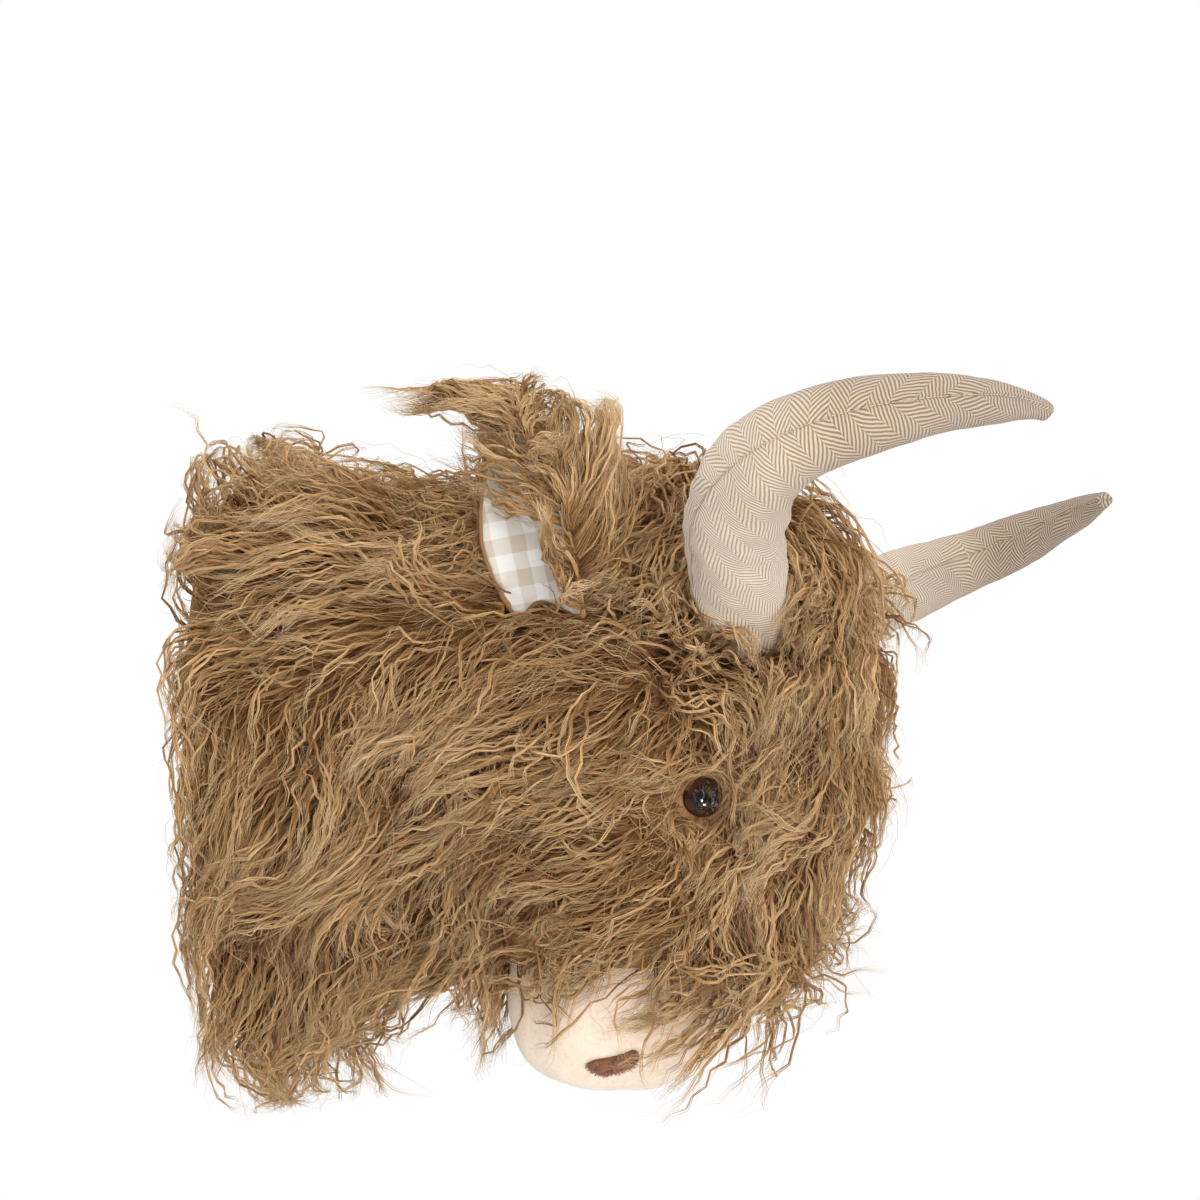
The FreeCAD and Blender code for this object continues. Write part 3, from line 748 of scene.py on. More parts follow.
def grow_body(roots, rng, steps, stray=0.0, lift=0.55, size=1.0, depth=1.0):
    """Centre lines of locks that leave the cloth, bend over and lie on those below."""
    count = len(roots)
    normal = BODY.gradient(roots)
    length = body_length(roots, rng) * size
    group = tuft_cells(roots, 17 * MM)
    tufts = group.max() + 1
    wild = (rng.random(tufts) < 0.26)[group] | (rng.random(count) < 0.05)
    wild &= (eye_reach(roots) > 42 * MM) & (depth > 0.9)
    collar = smooth(0.052, 0.034, horn_reach(roots))[:, None]
    up_horn = np.stack([np.sign(roots[:, 0]), np.full(count, -0.22), np.full(count, 0.35)], 1)
    length = length * np.where(wild, 1.15, 1.0)
    swing = rng.normal(size=(tufts, 3))[group] * 0.82
    turns = rng.uniform(0.45, 1.35, tufts)[group]
    phase = rng.uniform(0, 2 * math.pi, tufts)[group]
    parting = rng.normal(size=tufts)[group] * 14 * MM + rng.normal(size=count) * 7 * MM
    hang = smooth(-0.25, -0.75, normal[:, 2]) * smooth(-0.075, -0.035, roots[:, 1])
    tucked = smooth(-0.07, -0.10, roots[:, 2]) * smooth(-0.19, -0.165, roots[:, 1])
    bridge = smooth(-0.225, -0.190, roots[:, 1]) * smooth(0.02, -0.03, roots[:, 2])
    bridge *= smooth(-0.125, -0.15, roots[:, 1])
    hold = mix(0.30, 0.06, np.maximum(bridge, hang))
    layer = rng.uniform(0.0, 1.0, count) ** 1.3
    cover = mix(2.5 * MM, 14.0 * MM, layer) * depth
    cover *= mix(0.35, 1.0, smooth(0.010, 0.038, eye_reach(roots)))
    cover += 9 * MM * smooth(0.055, 0.028, horn_reach(roots)) * rng.random(count) * depth
    cover += 14 * MM * collar[:, 0] * rng.random(count) * depth
    cover += np.where(wild, rng.uniform(4 * MM, 15 * MM, count), 0)
    cover += (16 * MM * smooth(-0.045, -0.008, roots[:, 1]) * smooth(0.0, 0.05, roots[:, 2])
              * rng.random(count) * depth)
    droop = np.where(wild, 0.42, 0.20) * (1 - 0.8 * tucked * (1 - hang)) + 0.9 * hang
    reach = mix(34 * MM, 70 * MM, hang)
    top = FUR_HIGH - rng.uniform(0, 16 * MM, count) - 20 * MM * smooth(-0.17, -0.20, roots[:, 1])
    step = length / steps
    p = roots + normal * (-0.3 * MM)
    heading = unit(normal * lift + body_flow(roots, normal, parting) * 0.8 + MEDIUM(roots) * 0.35
                   + rng.normal(size=(count, 3)) * (0.12 + stray))
    path = [p.copy()]
    for s in range(steps):
        t = (s + 1) / steps
        normal = BODY.gradient(p)
        flow = body_flow(p, normal, parting)
        noise = COARSE(p) * 0.52 + MEDIUM(p) * 0.45 + FINE(p) * 0.22
        sway = swing * np.sin(2 * math.pi * turns * t + phase)[:, None]
        aim = flow + noise * (0.8 + 0.5 * t) + sway
        aim[:, 2] -= droop * t
        aim = mix(aim, up_horn, collar * smooth(0.75, 0.25, t) * 0.85)
        heading = unit(heading * 0.62 + unit(aim) * 0.38 + rng.normal(size=(count, 3)) * (0.03 + 0.1 * stray))
        p = p + heading * step[:, None]
        height = BODY(p) - SKIN
        wanted = cover * smooth(0.0, 0.28, t) * (1 - 0.25 * smooth(0.75, 1.0, t))
        low = wanted - height
        high = height - wanted * 1.35 - 1.0 * MM
        pull = np.minimum(np.maximum(high, 0) * hold * (1 - 0.55 * t), 2.5 * MM)
        pull += np.maximum(height - reach, 0) * 0.3
        p = p + normal * (np.maximum(low, 0) * 0.85 - pull)[:, None]
        p = off_the_eyes(push_off_horns(p), EYE_CLEAR)
        p[:, 1] = np.minimum(p[:, 1], -0.4 * MM)
        p[:, 2] = soft_limit(p[:, 2], FUR_LOW, top, 12 * MM)
        path.append(p.copy())
    return relaxed(np.stack(path, 1))


def clump(paths, rng, spacing, strength):
    """Draws the tips of neighbouring locks together into tufts."""
    roots = paths[:, 0]
    group = tuft_cells(roots, spacing)
    order = rng.permutation(len(roots))
    leader = np.zeros(group.max() + 1, int)
    leader[group[order]] = order
    guide = paths[leader[group]]
    s = np.linspace(0, 1, paths.shape[1])[None, :, None]
    pull = strength * smooth(0.12, 0.9, s)
    amount = rng.uniform(0.45, 1.0, len(roots))[:, None, None]
    return mix(paths, guide + (paths - guide) * 0.18, pull * amount), group


def across_paths(paths, rng):
    """Each point's way ahead, and two ways across it."""
    tangent = unit(np.gradient(paths, axis=1))
    ref = unit(rng.normal(size=(len(paths), 1, 3)))
    side = unit(np.cross(tangent, ref))
    return tangent, side, np.cross(tangent, side)


def crimp(paths, rng, amplitude, wavelength):
    """Gives each lock its own yarn-like wave."""
    count = len(paths)
    _, side, other = across_paths(paths, rng)
    moves = np.linalg.norm(np.diff(paths, axis=1), axis=2)
    gone = np.concatenate([np.zeros((count, 1)), np.cumsum(moves, 1)], 1)
    size = amplitude * rng.uniform(0.4, 1.3, (count, 1))
    wave = wavelength * rng.uniform(0.7, 1.5, (count, 1))
    phase = rng.uniform(0, 2 * math.pi, (count, 1))
    grow = smooth(0.0, 0.02, gone)
    a = np.sin(gone / wave * 2 * math.pi + phase) * size * grow
    b = np.cos(gone / wave * 2 * math.pi * 1.17 + phase * 1.7) * size * 0.7 * grow
    return paths + side * a[..., None] + other * b[..., None]


def split_locks(paths, rng, strands, spread, fray):
    """Each lock becomes a few loosely twisted strands that part at the tip."""
    count, points, _ = paths.shape
    s = np.linspace(0, 1, points)[None, :]
    _, side, other = across_paths(paths, rng)
    turn = rng.uniform(-5, 5, (count, 1))
    loosen = rng.uniform(0.8, 2.4, (count, 1))
    out = []
    for k in range(strands):
        angle = 2 * math.pi * k / strands + turn * s + rng.uniform(-0.6, 0.6, (count, 1))
        radius = spread * rng.uniform(0.6, 1.3, (count, 1)) * mix(1.5, 0.75, smooth(0, 0.3, s))
        radius = radius * (1 + 0.6 * np.sin(2 * math.pi * (s * loosen + rng.random((count, 1)))))
        radius = radius + fray * rng.uniform(0.0, 1.0, (count, 1)) * smooth(0.6, 1.0, s)
        out.append(paths + side * (np.cos(angle) * radius)[..., None]
                   + other * (np.sin(angle) * radius)[..., None])
    return np.stack(out, 1).reshape(count * strands, points, 3)


STREAKS = np.array((-0.022, 0.0, 0.022))   # how far u differs between a tube's three edges


def tubes(paths, radius, shade, rng, v_low=0.0, v_high=1.0, thick_end=0.10):
    """Closed three-sided tapering tubes. Returns vertices, quads, triangles and UVs."""
    count, points, _ = paths.shape
    s = np.linspace(0, 1, points)
    tangent, side, other = across_paths(paths, rng)
    profile = np.minimum(1.0, 0.8 + s * 2) * (1 - (1 - thick_end) * smooth(0.55, 1.0, s))
    r = radius[:, None] * profile[None]
    rings = []
    for k in range(3):
        angle = 2 * math.pi * k / 3
        rings.append(paths + side * (math.cos(angle) * r)[..., None]
                     + other * (math.sin(angle) * r)[..., None])
    verts = np.stack(rings, 2)                        # count, points, 3, xyz
    per = points * 3 + 1
    tip = paths[:, -1] + tangent[:, -1] * r[:, -1:] * 2
    flat = np.concatenate([verts.reshape(count, -1, 3), tip[:, None]], 1)
    uv = np.empty((count, per, 2))
    uv[..., 0] = shade[:, None]
    uv[:, :-1, 0] += np.tile(STREAKS, points)[None]
    uv[:, :-1, 1] = np.repeat(mix(v_low, v_high, s), 3)[None]
    uv[:, -1, 1] = v_high
    base = (np.arange(count) * per)[:, None, None]
    i = np.arange(points - 1)[:, None]
    k = np.arange(3)[None]
    k2 = (k + 1) % 3
    quad = np.stack([i * 3 + k, i * 3 + k2, (i + 1) * 3 + k2, (i + 1) * 3 + k], -1).reshape(1, -1, 4)
    quads = (quad + base).reshape(-1, 4)
    last = (points - 1) * 3
    tip_face = per - 1
    caps = np.array([[last, last + 1, tip_face], [last + 1, last + 2, tip_face], [last + 2, last, tip_face],
                     [2, 1, 0]])
    tris = (caps[None] + base).reshape(-1, 3)
    return flat.reshape(-1, 3), quads, tris, uv.reshape(-1, 2) * 0.96 + 0.02


class Pile:
    """Collects tubes for one cloth panel."""

    def __init__(self):
        self.parts = []

    def add(self, paths, radius, shade, **kw):
        self.parts.append((paths, radius, shade, kw))

    def build(self, name, body, node, material, rng, limit=170000):
        made = []
        chunk = []
        faces = 0
        queue = []
        for paths, radius, shade, kw in self.parts:
            per = 6 * (paths.shape[1] - 1) + 4
            size = max(1, limit // per)
            for start in range(0, len(paths), size):
                end = start + size
                queue.append((paths[start:end], radius[start:end], shade[start:end], kw, per))
        for item in queue:
            weight = len(item[0]) * item[4]
            if chunk and faces + weight > limit * 1.1:
                made.append(self.write(f"{name}_{len(made) + 1}", chunk, rng))
                chunk, faces = [], 0
            chunk.append(item)
            faces += weight
        if chunk:
            made.append(self.write(f"{name}_{len(made) + 1}", chunk, rng))
        for obj in made:
            dress(obj, material, node, body)

    def write(self, name, chunk, rng):
        verts, quads, tris, uvs = [], [], [], []
        offset = 0
        for paths, radius, shade, kw, _ in chunk:
            v, q, t, uv = tubes(paths, radius, shade, rng, **kw)
            verts.append(v)
            quads.append(q + offset)
            tris.append(t + offset)
            uvs.append(uv)
            offset += len(v)
        return new_object(name, np.concatenate(verts), [np.concatenate(quads), np.concatenate(tris)],
                          np.concatenate(uvs))


def backing(name, node, material):
    """The cloth that the pile grows from, mottled and dark like the pile's roots, whose colour is partly
    painted shade.
    """
    verts, tris = weld(*mesh_arrays(node))
    # this reads the fur's colour near its root end, where the colour is partly painted shade
    uv = np.stack([0.4 + 0.2 * FINE(verts)[:, 0], 0.2 + 0.08 * FINE(verts)[:, 1]], 1)
    return dress(new_object(name, verts, tris, uv), material, node)


def vertex_normals(verts, tris):
    a, b, c = (verts[tris[:, i]] for i in range(3))
    face = np.cross(b - a, c - a)
    total = np.zeros_like(verts)
    for i in range(3):
        np.add.at(total, tris[:, i], face)
    return unit(total)


def divided(verts, tris, rounds):
    """Splits each triangle in four, rounds times."""
    for _ in range(rounds):
        sides = np.concatenate([tris[:, [0, 1]], tris[:, [1, 2]], tris[:, [2, 0]]])
        edges, index = np.unique(np.sort(sides, axis=1), axis=0, return_inverse=True)
        ab, bc, ca = index.ravel().reshape(3, -1) + len(verts)
        verts = np.concatenate([verts, verts[edges].mean(1)])
        a, b, c = tris.T
        quarters = ((a, ab, ca), (ab, b, bc), (ca, bc, c), (ab, bc, ca))
        tris = np.concatenate([np.stack(t, 1) for t in quarters])
    return verts, tris


def soft_copy(name, node, material, slot, sink, lumps, scale, rounds=0):
    """A CAD node's shape, sunk a little and made uneven."""
    verts, tris = divided(*weld(*mesh_arrays(node)), rounds)
    uneven = Waves(scale, seed=91)(verts)[:, 0]
    verts = verts - vertex_normals(verts, tris) * (sink + lumps * np.clip(uneven, -1, 1))[:, None]
    return dress(new_object(name, verts, tris, smooth_shade=slot == "stuffing"), material, node)


FUR_PANELS = {
    "neck_mane": 0.85, "neck_side_left": 1.0, "neck_side_right": 1.0, "neck_throat": 0.9,
    "crown_fur": 1.15, "forehead_fur": 1.1, "jaw_fur": 1.4, "cheek_fur_left": 1.25, "cheek_fur_right": 1.25,
}
LOCKS_PER_SQ_M = 40000
STEPS = 12


def shade_of(count, group, rng):
    """Each lock's own tone, partly shared within its tuft."""
    tuft = rng.normal(size=group.max() + 1)[group]
    return np.clip(0.5 + 0.21 * tuft + 0.18 * rng.normal(size=count), 0, 1)


def outside_face(centre):
    """Leaves out the cloth turned over behind the board."""
    return centre[:, 1] <= -2.2 * MM


def brow_face(centre):
    """The cloth round the brow and the horn's root, where the pile parts."""
    from_brow = np.linalg.norm(eye_offset(centre) - BROW, axis=1)
    return outside_face(centre) & ((from_brow < 34 * MM) | (horn_reach(centre) < 52 * MM))


def fur_on(pile, paths, group, rng, strands=5, v_low=0.0):
    """Locks of several strands, all of one tuft's tone."""
    count = len(paths)
    lines = split_locks(paths, rng, strands, 0.55 * MM, 1.9 * MM)
    shade = np.repeat(shade_of(count, group, rng), strands) + rng.normal(size=count * strands) * 0.10
    radius = rng.uniform(0.14, 0.34, count * strands) * MM
    pile.add(lines, radius, np.clip(shade, 0.03, 0.97), v_low=v_low)


def wisps_on(pile, paths, rng):
    """Thin loose hairs of any tone."""
    count = len(paths)
    pile.add(paths, rng.uniform(0.07, 0.16, count) * MM, rng.uniform(0.35, 0.97, count), v_low=0.25)


def body_roots(node, count, rng, face=outside_face):
    return outer_samples(node, count, BODY, 0.8 * MM, 9.0 * MM, rng, face)


def body_fur(material):
    """Locks, loose wisps, an undercoat and short brow locks on each of the body's fur cloths."""
    rng = np.random.default_rng(11)
    for node, density in FUR_PANELS.items():
        backing(node + "_cloth", node, material)
        _, area = body_roots(node, 10, rng)
        count = int(area * LOCKS_PER_SQ_M * density)
        roots, _ = body_roots(node, count, rng)
        paths = grow_body(roots, rng, STEPS)
        paths, group = clump(paths, rng, 14 * MM, 0.90)
        paths, group = untangled(crimp(paths, rng, 1.4 * MM, 15 * MM), group)
        paths, group = opened(paths, group)
        pile = Pile()
        fur_on(pile, paths, group, rng)
        roots, _ = body_roots(node, int(count * 0.7), rng)
        wisps, = untangled(crimp(grow_body(roots, rng, STEPS, stray=0.28, lift=0.8), rng, 1.2 * MM, 14 * MM))
        wisps_on(pile, opened(wisps)[0], rng)
        roots, _ = body_roots(node, int(count * 0.9), rng)
        under = grow_body(roots, rng, 6, stray=0.3, size=0.36, depth=0.4)
        under, = untangled(crimp(under, rng, 1.0 * MM, 12 * MM))
        _, area = body_roots(node, 0, rng, brow_face)
        brow, _ = body_roots(node, int(area * LOCKS_PER_SQ_M * 1.1), rng, brow_face)
        if len(brow):
            extra = grow_body(brow, rng, 8, stray=0.15, size=0.7, depth=0.7)
            extra, group = clump(extra, rng, 10 * MM, 0.7)
            extra, group = opened(crimp(extra, rng, 1.2 * MM, 14 * MM), group)
            fur_on(pile, extra, group, rng, 4)
        short = len(under)
        radius = rng.uniform(0.22, 0.40, short) * MM
        pile.add(under, radius, rng.uniform(0.2, 0.8, short), v_low=0.1, v_high=0.7)
        pile.build(node + "_pile", "trophy", node, material, rng)


# ---------------------------------------------------------------- horns

def horn_frames(t):
    """Centre, direction, outer-seam direction and upward direction along the left horn."""
    centre = bezier(HORN_LINE, t)
    ahead = unit(bezier(HORN_LINE, np.minimum(t + 0.002, 1)) - bezier(HORN_LINE, np.maximum(t - 0.002, 0)))
    root, middle, tip = bezier(HORN_LINE, np.array([0, 0.5, 1.0]))
    normal = unit(np.cross(tip - root, middle - root))
    normal = normal if normal[2] > 0 else -normal
    outward = unit(np.cross(ahead, normal))
    upward = unit(np.cross(outward, ahead))
    return centre, ahead, outward, upward, normal


def horn_course(u_count):
    """Places, directions and smoothed radii along the left horn."""
    body = np.linspace(0.0, 1.0, u_count)
    centre, ahead, outward, upward, normal = horn_frames(body)
    radius = np.interp(body, HORN_RADII[:, 0], HORN_RADII[:, 1]) * MM
    kernel = np.ones(7) / 7
    padded = np.concatenate([np.full(3, radius[0]), radius, np.full(3, radius[-1])])
    radius = np.convolve(padded, kernel, "valid")
    return body, centre, ahead, outward, upward, normal, radius


def build_horn(side_name, upper, material, thread):
    """One cloth panel of a horn, seam to seam, with its flat-cloth UVs. The upper one brings the stitches."""
    u_count, half_count = ((150, 34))
    sign = SIDES[side_name]
    t, centre, ahead, outward, upward, normal, radius = horn_course(u_count)
    tip_angles = np.radians([14, 28, 42, 55, 67, 78, 88])
    centre = np.concatenate([centre, centre[-1] + ahead[-1] * (radius[-1] * np.sin(tip_angles))[:, None]])
    radius = np.concatenate([radius, radius[-1] * np.cos(tip_angles)])
    extend = lambda a: np.concatenate([a, np.repeat(a[-1:], len(tip_angles), 0)])
    ahead, outward, upward = extend(ahead), extend(outward), extend(upward)
    place = np.concatenate([t, np.full(len(tip_angles), 1.0)])
    climb = HORN_SEAM_CLIMB * place
    side = outward * np.cos(climb)[:, None] + upward * np.sin(climb)[:, None]
    other = unit(np.cross(side, ahead))

    start = 0.0 if upper else math.pi
    angle = start + np.linspace(0, math.pi, half_count)
    seam_gap = np.minimum(angle - start, start + math.pi - angle)
    arc = radius[:, None] * seam_gap[None]
    ridge = 0.75 * MM * np.exp(-(arc / (1.6 * MM)) ** 2)
    ridge = ridge - 0.55 * MM * np.exp(-((arc - 3.2 * MM) / (2.0 * MM)) ** 2)
    groove = -0.9 * MM * np.exp(-(arc / (0.5 * MM)) ** 2)
    fade = np.minimum(1, radius / (8 * MM))[:, None]
    ring = side[:, None] * np.cos(angle)[None, :, None] + other[:, None] * np.sin(angle)[None, :, None]
    points = centre[:, None] + radius[:, None, None] * ring
    out_dir = unit(ring)
    wave = Waves(34 * MM, seed=31)(points.reshape(-1, 3))[:, 0].reshape(points.shape[:2])
    fold = Waves(9 * MM, seed=37)(points.reshape(-1, 3) * np.array([0.35, 1, 1]))[:, 1]
    fold = fold.reshape(points.shape[:2])
    base = np.exp(-((place - 0.20) / 0.16) ** 2)[:, None]
    swell = (0.55 * wave + 0.22 * fold * (0.4 + 1.2 * base)) * MM * fade
    points = points + out_dir * (swell + (ridge + groove) * fade)[..., None]

    # flat cloth coordinates: the panel lies in the plane that the horn curves in
    axis_b = unit(ahead[t.searchsorted(HORN_GRAIN)])
    axis_a = unit(np.cross(axis_b, normal))
    axis_a, axis_b = (axis_a * math.cos(HORN_TURN) + axis_b * math.sin(HORN_TURN),
                      axis_b * math.cos(HORN_TURN) - axis_a * math.sin(HORN_TURN))
    stretch = mix(0.72, 1.0, smooth(0.15, 0.40, place))[:, None]
    moves = np.diff(centre, axis=0, prepend=centre[:1]) * stretch
    run = np.cumsum(moves, axis=0)
    flat = np.stack([run @ axis_a, run @ axis_b], 1)
    along = unit(np.gradient(flat, axis=0))
    across = np.stack([-along[:, 1], along[:, 0]], 1)
    reach = radius[:, None] * (angle - start - math.pi / 2)[None]
    sheet = flat[:, None] + across[:, None] * reach[..., None] * (1 if upper else -1)
    uv = sheet / HORN_SHEET + np.array([0.12, 0.15])

    thickness = 1.9 * MM
    inner = points - out_dir * np.minimum(thickness, radius[:, None] * 0.5)[..., None]
    rows, cols = points.shape[:2]
    verts = np.concatenate([points.reshape(-1, 3), inner.reshape(-1, 3)]) * (sign, 1, 1)
    uvs = np.concatenate([uv.reshape(-1, 2)] * 2)
    quads = shell_quads(rows, cols, sign < 0)
    half = "upper" if upper else "lower"
    name = f"horn_{half}_cloth_{side_name}"
    obj = dress(new_object(name, verts, quads, uvs), material, f"horn_{half}_{side_name}")
    if upper:
        for seam, column in (("outer", 0), ("inner", -1)):
            stitches(f"horn_{seam}_stitches_{side_name}", points[:, column] * (sign, 1, 1),
                     out_dir[:, column] * (sign, 1, 1), thread)


def horn_filling(side_name, material):
    """The stuffed core under a horn's cloth."""
    sign = SIDES[side_name]
    t = np.linspace(0, 1, 40)
    centre, ahead, outward, upward, _ = horn_frames(t)
    radius = np.maximum(np.interp(t, HORN_RADII[:, 0], HORN_RADII[:, 1]) - 3.4, 0.4) * MM
    angle = np.linspace(0, 2 * math.pi, 25)[:-1]
    ring = outward[:, None] * np.cos(angle)[None, :, None] + upward[:, None] * np.sin(angle)[None, :, None]
    lumps = 1 + 0.03 * Waves(16 * MM, seed=41)(centre.repeat(24, 0) + ring.reshape(-1, 3) * 0.02)[:, 0]
    points = centre[:, None] + ring * (radius[:, None] * lumps.reshape(40, 24))[..., None]
    ends = np.array([centre[0] - ahead[0] * 0.5 * MM, centre[-1] + ahead[-1] * 0.5 * MM])
    verts = np.concatenate([points.reshape(-1, 3), ends]) * (sign, 1, 1)
    k = np.arange(24)
    k2 = (k + 1) % 24
    quads = np.concatenate([np.stack([i * 24 + k, i * 24 + k2, (i + 1) * 24 + k2, (i + 1) * 24 + k], 1)
                            for i in range(39)])
    low = np.stack([k2, k, np.full(24, 960)], 1)
    high = np.stack([39 * 24 + k, 39 * 24 + k2, np.full(24, 961)], 1)
    tris = np.concatenate([low, high])
    if sign > 0:
        quads, tris = quads[:, ::-1], tris[:, ::-1]
    obj = new_object("horn_filling_" + side_name, verts, [quads, tris])
    dress(obj, material, "horn_stuffing_" + side_name)


def shell_quads(rows, cols, flip):
    """Outer and inner faces of a strip of cloth, and its four edges."""
    i = np.arange(rows - 1)[:, None]
    j = np.arange(cols - 1)[None]
    a = (i * cols + j).ravel()
    outer = np.stack([a, a + 1, a + cols + 1, a + cols], 1)
    off = rows * cols
    inner = outer[:, ::-1] + off
    edges = []
    for column, reverse in ((0, False), (cols - 1, True)):
        e = np.arange(rows - 1) * cols + column
        quad = np.stack([e, e + cols, e + cols + off, e + off], 1)
        edges.append(quad[:, ::-1] if reverse else quad)
    for row, reverse in ((0, True), (rows - 1, False)):
        e = row * cols + np.arange(cols - 1)
        quad = np.stack([e, e + 1, e + 1 + off, e + off], 1)
        edges.append(quad if reverse else quad[:, ::-1])
    quads = np.concatenate([outer, inner] + edges)
    return quads[:, ::-1] if not flip else quads


def stitches(name, line, out_dir, material):
    """Small machine stitches that sit in the seam."""
    gone = np.concatenate([[0], np.cumsum(np.linalg.norm(np.diff(line, axis=0), axis=1))])
    pitch, length = 3.1 * MM, 2.1 * MM
    starts = np.arange(8 * MM, gone[-1] - 6 * MM, pitch)
    paths = []
    for start in starts:
        s = start + np.linspace(0, length, 5)
        p = np.stack([np.interp(s, gone, line[:, a]) for a in range(3)], 1)
        n = unit(np.stack([np.interp(s, gone, out_dir[:, a]) for a in range(3)], 1))
        paths.append(p + n * (np.sin(np.linspace(0, math.pi, 5)) * 0.5 * MM + 0.05 * MM)[:, None])
    paths = np.array(paths)
    rng = np.random.default_rng(5)
    radius, shade = np.full(len(paths), 0.24 * MM), np.full(len(paths), 0.5)
    v, q, t, uv = tubes(paths, radius, shade, rng, thick_end=0.6)
    dress(new_object(name, v, [q, t], uv), material, None)


# ---------------------------------------------------------------- ears

EAR_ROOT = np.array((85.0, -185.0, 46.0)) * MM
EAR_UP = unit(np.array((0.22, 0.15, 0.965)))
EAR_ACROSS = unit(np.cross(EAR_UP, (0.86, 0.48, -0.16)))
EAR_FACE = np.cross(EAR_ACROSS, EAR_UP)
EAR_LENGTH, EAR_HALF_WIDTH, EAR_CUP = 108 * MM, 29 * MM, 46 * MM
EAR_LINING, EAR_BACK = 1.0 * MM, 2.6 * MM
EAR_CLEAR = 5.2 * MM
EAR_MIDDLE = np.array((0.0, 0.45))
EAR_SHAPE = np.array([
    (-0.62, -0.06), (-0.86, 0.22), (-1.0, 0.5), (-0.72, 0.8), (-0.2, 0.99),
    (0.16, 0.97), (0.66, 0.78), (0.98, 0.48), (0.9, 0.2), (0.6, -0.06),
])


def closed_spline(points, per):
    """A smooth curve round a closed loop of points."""
    out = []
    n = len(points)
    t = np.linspace(0, 1, per, endpoint=False)[:, None]
    for i in range(n):
        p0, p1, p2, p3 = (points[(i + k - 1) % n] for k in range(4))
        out.append(0.5 * (2 * p1 + (p2 - p0) * t + (2 * p0 - 5 * p1 + 4 * p2 - p3) * t ** 2
                          + (3 * p1 - p0 - 3 * p2 + p3) * t ** 3))
    return np.concatenate(out)


def ear_point(uv, depth):
    """A place on the left ear: across and up in shares, and depth behind the lining's face."""
    a = uv[..., 0] * EAR_HALF_WIDTH
    phi = np.arcsin(np.clip(a / EAR_CUP, -1, 1))
    radius = EAR_CUP + depth
    back = -EAR_FACE * np.cos(phi)[..., None] + EAR_ACROSS * np.sin(phi)[..., None]
    axis = EAR_ROOT + EAR_FACE * EAR_CUP + EAR_UP * (uv[..., 1] * EAR_LENGTH)[..., None]
    return axis + back * np.asarray(radius)[..., None], back


def ear_outline():
    """The ear's edge, stopped short of the head."""
    edge = closed_spline(EAR_SHAPE, 11)
    share = np.linspace(0.05, 1, 80)
    for i, point in enumerate(edge):
        line = EAR_MIDDLE + (point - EAR_MIDDLE) * share[:, None]
        place, _ = ear_point(line, 2 * MM)
        inside = np.nonzero(BODY(place) < EAR_CLEAR)[0]
        if len(inside):
            edge[i] = line[max(inside[0] - 1, 0)]
    edge[:, 1] = np.maximum(edge[:, 1], EAR_BASE / 2)
    for _ in range(4):
        edge = (np.roll(edge, 1, 0) + edge * 2 + np.roll(edge, -1, 0)) / 4
    return edge


EAR_EDGE = ear_outline()


def disc_shell(edge_count, rings):
    """Faces of a lens: front and back discs of rings, joined round their edge."""
    k = np.arange(edge_count)
    k2 = (k + 1) % edge_count
    half = 1 + rings * edge_count
    tris = [np.stack([np.zeros_like(k), 1 + k, 1 + k2], 1),
            np.stack([half + 0 * k, half + 1 + k2, half + 1 + k], 1)]
    quads = []
    for r in range(rings - 1):
        a = 1 + r * edge_count
        b = a + edge_count
        quads.append(np.stack([a + k, b + k, b + k2, a + k2], 1))
        quads.append(np.stack([half + a + k2, half + b + k2, half + b + k, half + a + k], 1))
    rim = 1 + (rings - 1) * edge_count
    quads.append(np.stack([rim + k, half + rim + k, half + rim + k2, rim + k2], 1))
    return np.concatenate(quads), np.concatenate(tris)


def ear_sheet(name, side, front, back, grow, ruffle):
    """One cloth layer of an ear, from depth front to depth back."""
    sign = SIDES[side]
    rings = 24
    share = np.linspace(0, 1, rings + 1)[1:] ** 0.8
    edge = EAR_MIDDLE + (EAR_EDGE - EAR_MIDDLE) * grow
    grid = EAR_MIDDLE + (edge[None] - EAR_MIDDLE) * share[:, None, None]
    uv = np.concatenate([EAR_MIDDLE[None], grid.reshape(-1, 2)])
    rim = np.concatenate([[0], np.repeat(share, len(edge))])
    flat = uv * np.array([EAR_HALF_WIDTH, EAR_LENGTH])
    spot = np.concatenate([flat, np.zeros((len(flat), 1))], 1)
    wave = Waves(19 * MM, seed=51)(spot)[:, 0] * 0.45
    wave = wave + Waves(7 * MM, seed=52)(spot)[:, 1] * 0.9 * smooth(0.7, 1.0, rim)
    shift = wave * ruffle
    round_off = (back - front) * 0.5 * smooth(0.93, 1.0, rim) ** 2
    front_side, _ = ear_point(uv, front + round_off + shift)
    back_side, _ = ear_point(uv, back - round_off * 0.6 + shift)
    verts = np.concatenate([front_side, back_side]) * (sign, 1, 1)
    cloth = flat / GINGHAM_SHEET + np.array([0.45, 0.08])
    quads, tris = disc_shell(len(edge), rings)
    if sign > 0:
        quads, tris = quads[:, ::-1], tris[:, ::-1]
    return new_object(name, verts, [quads, tris], np.concatenate([cloth, cloth]))


def ear_depth(p):
    """Across and up shares of points near the left ear, and their depth behind the lining's face."""
    rel = p - EAR_ROOT
    a = rel @ EAR_ACROSS
    height = rel @ EAR_UP
    b = rel @ EAR_FACE - EAR_CUP
    return a / EAR_HALF_WIDTH, height / EAR_LENGTH, np.hypot(a, b) - EAR_CUP


